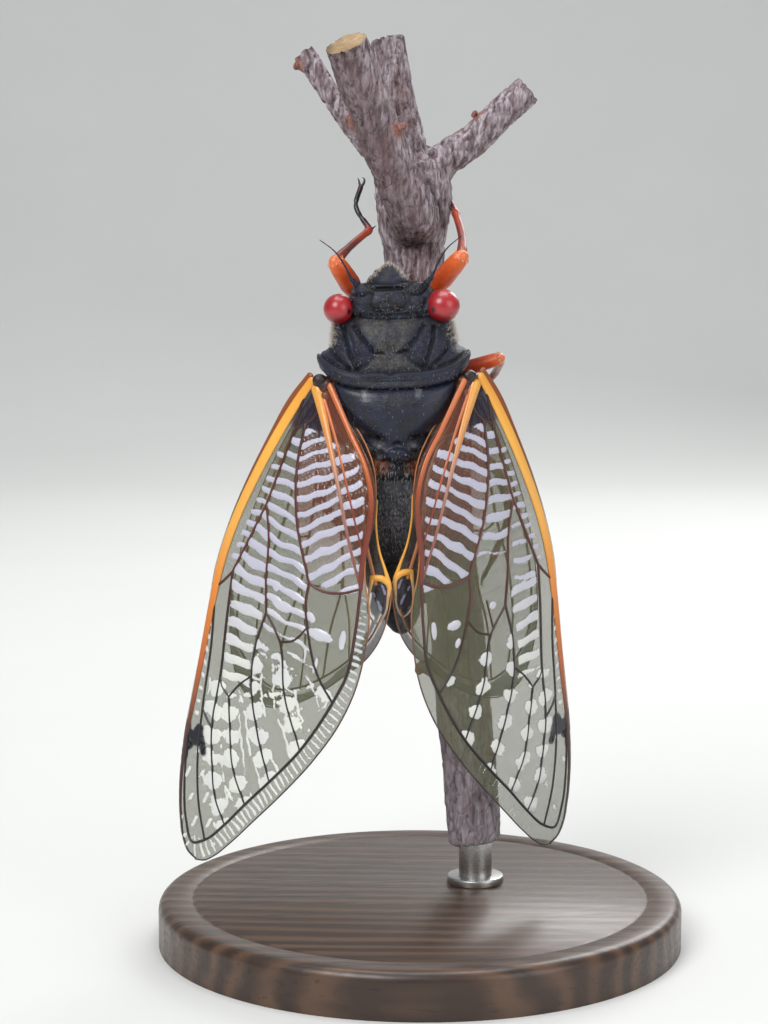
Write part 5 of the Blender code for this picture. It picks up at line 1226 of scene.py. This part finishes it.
for start, reach, thick, bends in twig["stubs"]:
    root, tip = fork + Vector(start), fork + Vector(reach)
    middle = [fork + Vector(p) for p in bends] or [root.lerp(tip, 0.45) - Vector((0, 0, 0.4))]
    line = smoothPath([root, *middle, tip, tip + (tip - root) * 0.06], twig["stubSteps"])
    shares, girths = twig["stubGirth"]
    girth = taper(twig["stubSteps"], shares, [thick * g for g in girths])
    sweep(bm, line, girth, 32, roundEnds=(True, False))
    ends.append((tip, (Vector(line[-1]) - Vector(line[-4])).normalized(), thick * 2.2))
    stubLines.append((smoothPath([root, *middle, tip], twig["stubSteps"]), thick))
budTops = []
for share, turn, size in twig["buds"]:
    centre = Vector(stemLine[int(share * (twig["steps"] - 1))])
    out = Vector((math.cos(math.radians(turn)), math.sin(math.radians(turn)), 0.15)).normalized()
    line = [centre + out * 1.2, centre + out * (1.95 + size * 0.5), centre + out * (2.05 + size)]
    sweep(bm, line, [size * 1.5, size, size * 0.75], 20)
    budTops.append((centre + out * (2.15 + size * 1.05), size))
for index, share, way, size in twig["stubBuds"]:
    path, thick = stubLines[index]
    centre, out = Vector(path[int(share * (twig["stubSteps"] - 1))]), Vector(way).normalized()
    sweep(bm, [centre + out * thick * 0.6, centre + out * (thick + size * 0.7)], [size * 1.2, size * 0.7], 16)
    budTops.append((centre + out * (thick + size * 0.8), size))
bmesh.ops.recalc_face_normals(bm, faces=bm.faces)
bm.transform(twigPlace)
parts = newObject("twigParts", toMesh("twigParts", bm))
whole = parts.modifiers.new("whole", "REMESH")
whole.mode, whole.voxel_size = "VOXEL", twig["voxel"] * 0.001
soft = parts.modifiers.new("soft", "SMOOTH")
soft.factor, soft.iterations = 0.5, 7
graph = bpy.context.evaluated_depsgraph_get()
made = bpy.data.meshes.new_from_object(parts.evaluated_get(graph))
bpy.data.objects.remove(parts)
bm = newMesh(*barkMarks)
bm.from_mesh(made)
bm.transform(twigPlace.inverted())
for place, way, reach in ends:  # clean saw cuts
    near = {v for v in bm.verts if (v.co - place).length < reach}
    geom = [f for f in bm.faces if all(v in near for v in f.verts)]
    geom += list({e for f in geom for e in f.edges}) + list({v for f in geom for v in f.verts})
    cut = bmesh.ops.bisect_plane(bm, geom=geom, dist=1e-5, plane_co=place, plane_no=way, clear_outer=True)["geom_cut"]
    edges = [g for g in cut if isinstance(g, bmesh.types.BMEdge)]
    for f in bmesh.ops.holes_fill(bm, edges=edges, sides=0)["faces"]:
        f.material_index = 1


def barkRelief(x, y, z):
    depth, crack = [], []
    for px, py, pz in zip(x, y, z):
        at = Vector((px * 1.1, py * 1.1, pz * 0.32))
        ridge = abs(noise.noise(at * 1.5))
        coarse = noise.noise(Vector((px, py, pz)) * 0.35)
        flake = noise.noise(at * 4.2)
        depth.append(0.16 * max(0, 0.16 - ridge) / 0.16 - 0.14 * coarse - 0.05 * flake)
        crack.append(max(0.0, 0.09 - ridge) / 0.09)
    depth, crack = np.array(depth), np.array(crack)
    forkGap = np.sqrt((x - fork.x) ** 2 + (y - fork.y) ** 2 + (z - fork.z) ** 2)
    scar = crease(z - fork.z + 4.9 + 0.15 * np.cos(x), 0.12)  # ring scar under the knot
    depth += 0.16 * scar + 0.05 * np.sin(z * 7 + 2 * np.sin(x * 1.4)) * crease(forkGap - 3.2, 1.6)
    # painted shade in the hollow of the fork
    crotchShade = crease(np.sqrt(((x - 1.3) * 0.5) ** 2 + ((y - 4.4) * 0.7) ** 2 + ((z - 9.2) * 1.3) ** 2), 0.8)
    # painted shade: the front branch is darker and browner, lighter along its right side, and a seam parts it from the
    # rest, its dark line also painted shade
    line = stubLines[0][0]
    away = np.linalg.norm(np.stack([x, y, z], 1)[:, None] - line[None], axis=2)
    nearest = away.argmin(1)
    away, inFront = away.min(1), line[nearest, 1] - y
    own = rise(2.35, 1.95, away) * rise(-1.3, -0.5, inFront) * rise(8.6, 9.8, z)
    seam = crease(away - 2.15, 0.22) * rise(9.5, 11.0, z) * rise(-1.5, -0.6, inFront)
    depth += 0.12 * seam
    brown = own * (1 - 0.8 * rise(0.35, 1.1, x - line[nearest, 0]))
    return depth, {"groove": np.clip(0.55 * crack + 0.5 * scar + 0.75 * crotchShade + 0.5 * seam, 0, 0.85), "brown": brown}


bmesh.ops.recalc_face_normals(bm, faces=bm.faces)
sculpt(bm, barkRelief)
warm = bm.verts.layers.float["warm"]
for vert in bm.verts:
    for top, size in budTops:
        away = (vert.co - top).length
        if away < size * 2.2:
            vert[warm] = max(vert[warm], float(rise(size * 1.9, size * 0.9, away)))
barkSkin = barkFinish()
twigPiece = addPiece("forkedTwig", bm, barkSkin, (
    "twig_stem", "twig_stub_left", "twig_stub_back", "twig_stub_right", "twig_stub_thin"), place=twigPlace)
twigPiece.data.materials.append(cutWoodFinish())
bm = newMesh(*barkMarks)
draw = random.Random(7)
for top, size in budTops:  # small pointed bud scales
    for k in range(3):
        lean = Vector((draw.uniform(-1, 1), draw.uniform(-1, 1), draw.uniform(-1, 1))) * size * 0.35
        ball(bm, top + lean, (size * 0.42, size * 0.42, size * 0.5), 8, 12, {"warm": 0.9})
addPiece("twigBuds", bm, barkSkin, place=twigPlace)
print("twig ready")

# ---- stand ----
stand = {
    "radius": 20.0, "thick": 3.5, "edge": 0.8, "ring": [(1.6, 0), (0.12, -0.1), (0.25, 0), (0.12, 0.1)],
    # radius, foot and top of the rod and of its collar
    "rod": [(1.3, 3.4, 8.2), (2.2, 3.45, 4.1)], "rodEdge": 0.14, "sharpDeg": 40,
}


def levelEdges(bm):  # the edges of the flat ends
    return [e for e in bm.edges if len({round(v.co.z, 3) for v in e.verts}) == 1]


bm = bmesh.new()
bmesh.ops.create_cone(bm, cap_ends=True, segments=128, radius1=stand["radius"], radius2=stand["radius"],
                      depth=stand["thick"])
bmesh.ops.translate(bm, vec=(0, 0, stand["thick"] / 2), verts=bm.verts)
bmesh.ops.bevel(bm, geom=[e for e in levelEdges(bm) if e.verts[0].co.z > 1], offset=stand["edge"], segments=5,
                affect="EDGES", profile=0.5, material=-1)
top = max(bm.faces, key=lambda f: f.calc_center_median().z * 100 + len(f.verts))
for inset, step in stand["ring"]:  # a fine ring let into the top
    bmesh.ops.inset_individual(bm, faces=[top], thickness=inset, depth=step)
base = addPiece("stand_baseDisc", bm, baseFinish(), ("stand_base",), place=toMetres)
base.data.set_sharp_from_angle(angle=math.radians(stand["sharpDeg"]))

rodFoot = Vector(insect["place"]) + foot
bm = bmesh.new()
for radius, low, high in stand["rod"]:
    made = bmesh.ops.create_cone(bm, cap_ends=True, segments=48, radius1=radius, radius2=radius, depth=high - low)
    bmesh.ops.translate(bm, vec=(rodFoot.x, rodFoot.y, (low + high) / 2), verts=made["verts"])
bmesh.ops.bevel(bm, geom=levelEdges(bm), offset=stand["rodEdge"], segments=3, affect="EDGES", profile=0.5, material=-1)
rod = addPiece("stand_rodPost", bm, steelFinish(), ("stand_rod",), place=toMetres)
rod.data.set_sharp_from_angle(angle=math.radians(stand["sharpDeg"]))
print("stand ready")

# ---- fine hairs ----

def skinPoints(bm, count, density, draw):
    # random roots on a skin, with their outward normals
    bmesh.ops.triangulate(bm, faces=bm.faces)
    bm.normal_update()
    corners = np.array([[v.co for v in f.verts] for f in bm.faces])
    normals, areas = np.array([f.normal for f in bm.faces]), np.array([f.calc_area() for f in bm.faces])
    # a skin's faces and their corners come in another order on each run, so both are put in order by place
    first = (corners @ np.array((1.0, 2.0, 4.0))).argmin(1)
    corners = np.take_along_axis(corners, ((first[:, None] + np.arange(3)) % 3)[..., None], 1)
    order = np.lexsort(corners.mean(1).round(3).T)
    corners, normals, areas = corners[order], normals[order], areas[order]
    weight = areas * density(*corners.mean(1).T)
    picks = draw.choice(len(weight), count, p=weight / weight.sum())
    a, b = draw.random(count), draw.random(count)
    over = a + b > 1
    a[over], b[over] = 1 - a[over], 1 - b[over]
    tri = corners[picks]
    return tri[:, 0] + a[:, None] * (tri[:, 1] - tri[:, 0]) + b[:, None] * (tri[:, 2] - tri[:, 0]), normals[picks]


def growHairs(name, rows, finish, draw):
    # rows of skin, count, density, lie, length range, thickness, and how far the hairs stand up
    rooted = [skinPoints(skin, count, density, draw) for skin, count, density, *_ in rows]
    bm = bmesh.new()
    bmesh.ops.create_cone(bm, segments=3, radius1=1, radius2=0, depth=1)
    bmesh.ops.translate(bm, vec=(0, 0, 0.5), verts=bm.verts)
    bmesh.ops.remove_doubles(bm, verts=bm.verts, dist=1e-4)
    bmesh.ops.subdivide_edges(bm, edges=[e for e in bm.edges if abs(e.verts[0].co.z - e.verts[1].co.z) > 0.5], cuts=1)
    bmesh.ops.triangulate(bm, faces=bm.faces)
    bm.verts.index_update()
    template = np.array([v.co for v in bm.verts])
    faces = np.array([[v.index for v in f.verts] for f in bm.faces])
    bm.free()
    allPoints, allUvs, allAlong = [], [], []
    for (roots, normals), (_, count, _, lie, lengths, thick, upright) in zip(rooted, rows):
        way = normals * upright + np.array(lie) + draw.normal(0, 0.22, (count, 3))
        way -= normals * np.minimum((way * normals).sum(1) - 0.12, 0)[:, None]
        way /= np.linalg.norm(way, axis=1)[:, None]
        across = np.cross(way, normals + 1e-3)
        across /= np.linalg.norm(across, axis=1)[:, None]
        other = np.cross(way, across)
        length = draw.uniform(*lengths, count)[:, None, None]
        width = draw.uniform(0.7, 1.3, count)[:, None, None] * thick
        bow = (template[:, 2] ** 2)[None, :, None] * -0.22 * length * normals[:, None]
        points = ((roots - normals * 0.03)[:, None] + template[None, :, 0:1] * across[:, None] * width
                  + template[None, :, 1:2] * other[:, None] * width + template[None, :, 2:3] * way[:, None] * length
                  + bow)
        turn = np.arctan2(roots[:, 0], -roots[:, 1])  # the map unrolls the body, from tail to feelers
        centre = np.stack([turn / (2 * math.pi) + 0.5, (roots[:, 2] + 20.5) / 29.5], 1)
        allPoints.append(points.reshape(-1, 3))
        allUvs.append((centre[:, None] + template[None, :, :2] * 0.0015).reshape(-1, 2))
        allAlong.append(np.tile(template[:, 2], count))
    points, uvs, along = (np.concatenate(r) for r in (allPoints, allUvs, allAlong))
    total = len(points) // len(template)
    index = (faces[None] + (np.arange(total) * len(template))[:, None, None]).reshape(-1, 3)
    points = points @ np.array(insectPlace.to_3x3()).T + np.array(insectPlace.translation)
    mesh = bpy.data.meshes.new(name)
    mesh.from_pydata(points.tolist(), [], index.tolist())
    mesh.uv_layers.new(name="OFBake").data.foreach_set("uv", uvs[index.ravel()].astype(np.float32).ravel())
    mesh.attributes.new("along", "FLOAT", "POINT").data.foreach_set("value", along.astype(np.float32))
    piece = newObject(name, mesh, finish)
    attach(piece, "root")


draw = np.random.default_rng(11)
tailwards = (0, -0.15, -1.0)
silver = hairFinish("silverHair", (0.30, 0.30, 0.32), (0.72, 0.72, 0.74))
ivory = hairFinish("ivoryHair", (0.50, 0.42, 0.34), (0.86, 0.80, 0.72))


def onBack(y):
    return rise(1.2, -0.8, y)


def ringDown(x, y, z):  # thick on the first rings, thin towards the tail
    return onBack(y) * np.interp(z, [-17.6, -14.5, -12.5, -11.5, -7.8], [0.03, 0.08, 0.35, 1, 1])


def crossDown(x, y, z):  # mostly behind the raised cross
    return onBack(y) * (0.12 + rise(-4.6, -5.4, z))


def lobeDown(x, y, z):
    return onBack(y) * (0.2 + rise(3.6, 4.4, np.abs(x)) * rise(1.8, 2.4, z))


def lobeFringe(x, y, z):
    return rise(3.7, 4.4, np.abs(x)) * rise(1.7, 2.2, z) * rise(2.0, 0.5, y)


def browFringe(x, y, z):
    return crease(y + 0.9, 0.35) * rise(6.3, 6.8, z)


def cheekFringe(x, y, z):
    return rise(2.2, 3.0, np.abs(x)) * (z < 4.3) * (z > 3.8)


growHairs("silverDown", [
    (abdomenSkin, 4600, ringDown, tailwards, (0.18, 0.38), 0.018, 0.28),
    (metanotumSkin, 500, lambda x, y, z: onBack(y), tailwards, (0.35, 0.7), 0.024, 0.5),
    (mesonotumSkin, 700, crossDown, tailwards, (0.12, 0.3), 0.016, 0.3),
    (pronotumSkin, 1300, lobeDown, tailwards, (0.12, 0.28), 0.015, 0.4),
    (headSkin, 700, lambda x, y, z: onBack(y) * (z > 3.9), tailwards, (0.1, 0.22), 0.016, 0.5),
    (bellySkin, 1500, lambda x, y, z: rise(0.5, 1.5, y), tailwards, (0.25, 0.6), 0.022, 0.4),
], silver, draw)
growHairs("ivoryFringe", [
    (pronotumSkin, 620, lobeFringe, (0, 0, 0.25), (0.3, 0.75), 0.017, 1.0),
    (faceSkin, 420, browFringe, (0, 0.1, 0.8), (0.15, 0.4), 0.013, 0.9),
    (headSkin, 420, cheekFringe, (0, 0, -0.3), (0.2, 0.45), 0.013, 1.0),
    (metanotumSkin, 500, lambda x, y, z: onBack(y) * rise(1.0, 1.6, np.abs(x)), tailwards, (0.4, 0.8), 0.022, 0.6),
], ivory, draw)
for skin in (headSkin, faceSkin, pronotumSkin, mesonotumSkin, metanotumSkin, bellySkin, abdomenSkin):
    skin.free()
print("hairs ready")

# ---- stage, light and camera ----
stage = {"near": -4.0, "far": 0.62, "half": 4.0, "height": 1.6, "curve": 0.3}
material, tree = startMaterial("paleStage")
tint = mixed(tree, clouds(tree, inMillimetres(tree), 0.02, 3), (0.66, 0.665, 0.65), (0.70, 0.705, 0.69))
finished(material, {"Base Color": tint, "Roughness": 0.9})
bend = stage["far"] - stage["curve"]
outline = [(stage["near"], 0), (bend, 0)]
for a in np.linspace(0, math.pi / 2, 14)[1:]:
    outline.append((bend + stage["curve"] * math.sin(a), stage["curve"] * (1 - math.cos(a))))
outline.append((stage["far"], stage["height"]))
bm = bmesh.new()
side = [bm.verts.new((-stage["half"], y, z)) for y, z in outline]
edges = [bm.edges.new(pair) for pair in zip(side, side[1:])]
made = bmesh.ops.extrude_edge_only(bm, edges=edges)["geom"]
bmesh.ops.translate(bm, vec=(2 * stage["half"], 0, 0), verts=[g for g in made if isinstance(g, bmesh.types.BMVert)])
bmesh.ops.recalc_face_normals(bm, faces=bm.faces)
floor = newObject("paleStage", toMesh("paleStage", bm), material)


def lookAt(thing, place, aim):  # both in millimetres
    thing.location = place * 0.001
    thing.rotation_euler = (aim - place).to_track_quat("-Z", "Y").to_euler()


lights = [  # name, place and aim in mm, size in mm, power
    ("softKey", (-190, -300, 330), (0, 0, 40), 240, 1.35), ("softFill", (260, -240, 150), (0, 0, 38), 260, 0.35),
    ("softTop", (10, 40, 380), (0, 0, 40), 260, 0.5), ("softBack", (120, 260, 210), (0, 0, 40), 200, 0.45),
    ("softWall", (0, 120, 560), (0, 600, 160), 420, 0.9),
]
for name, place, aim, size, power in lights:
    lamp = bpy.data.lights.new(name, "AREA")
    lamp.shape, lamp.size, lamp.energy = "DISK", size * 0.001, power
    light = bpy.data.objects.new(name, lamp)
    lookAt(light, Vector(place), Vector(aim))
    bpy.context.scene.collection.objects.link(light)
bpy.context.scene.view_settings.view_transform = "Standard"
world = bpy.data.worlds.new("softRoom")
world.use_nodes = True
setSockets(world.node_tree, world.node_tree.nodes["Background"], {"Color": (0.86, 0.89, 0.93, 1), "Strength": 0.36})
bpy.context.scene.world = world

# the view is 180 mm away, and half its height there is 37.65 mm
camera = {"target": (-2.74, -4.5, 33.56), "distance": 180.0, "elevationDeg": 7.0, "tanHalf": 37.65 / 180,
          "sensor": 36.0}
lens = bpy.data.cameras.new("photoView")
lens.sensor_fit, lens.sensor_height = "VERTICAL", camera["sensor"]
lens.lens = camera["sensor"] / 2 / camera["tanHalf"]
lens.clip_start, lens.clip_end = 0.01, 10.0
tilt = math.radians(camera["elevationDeg"])
view = bpy.data.objects.new("photoView", lens)
aim = Vector(camera["target"])
lookAt(view, aim + Vector((0, -math.cos(tilt), math.sin(tilt))) * camera["distance"], aim)
bpy.context.scene.collection.objects.link(view)
bpy.context.scene.camera = view


print("scene ready")
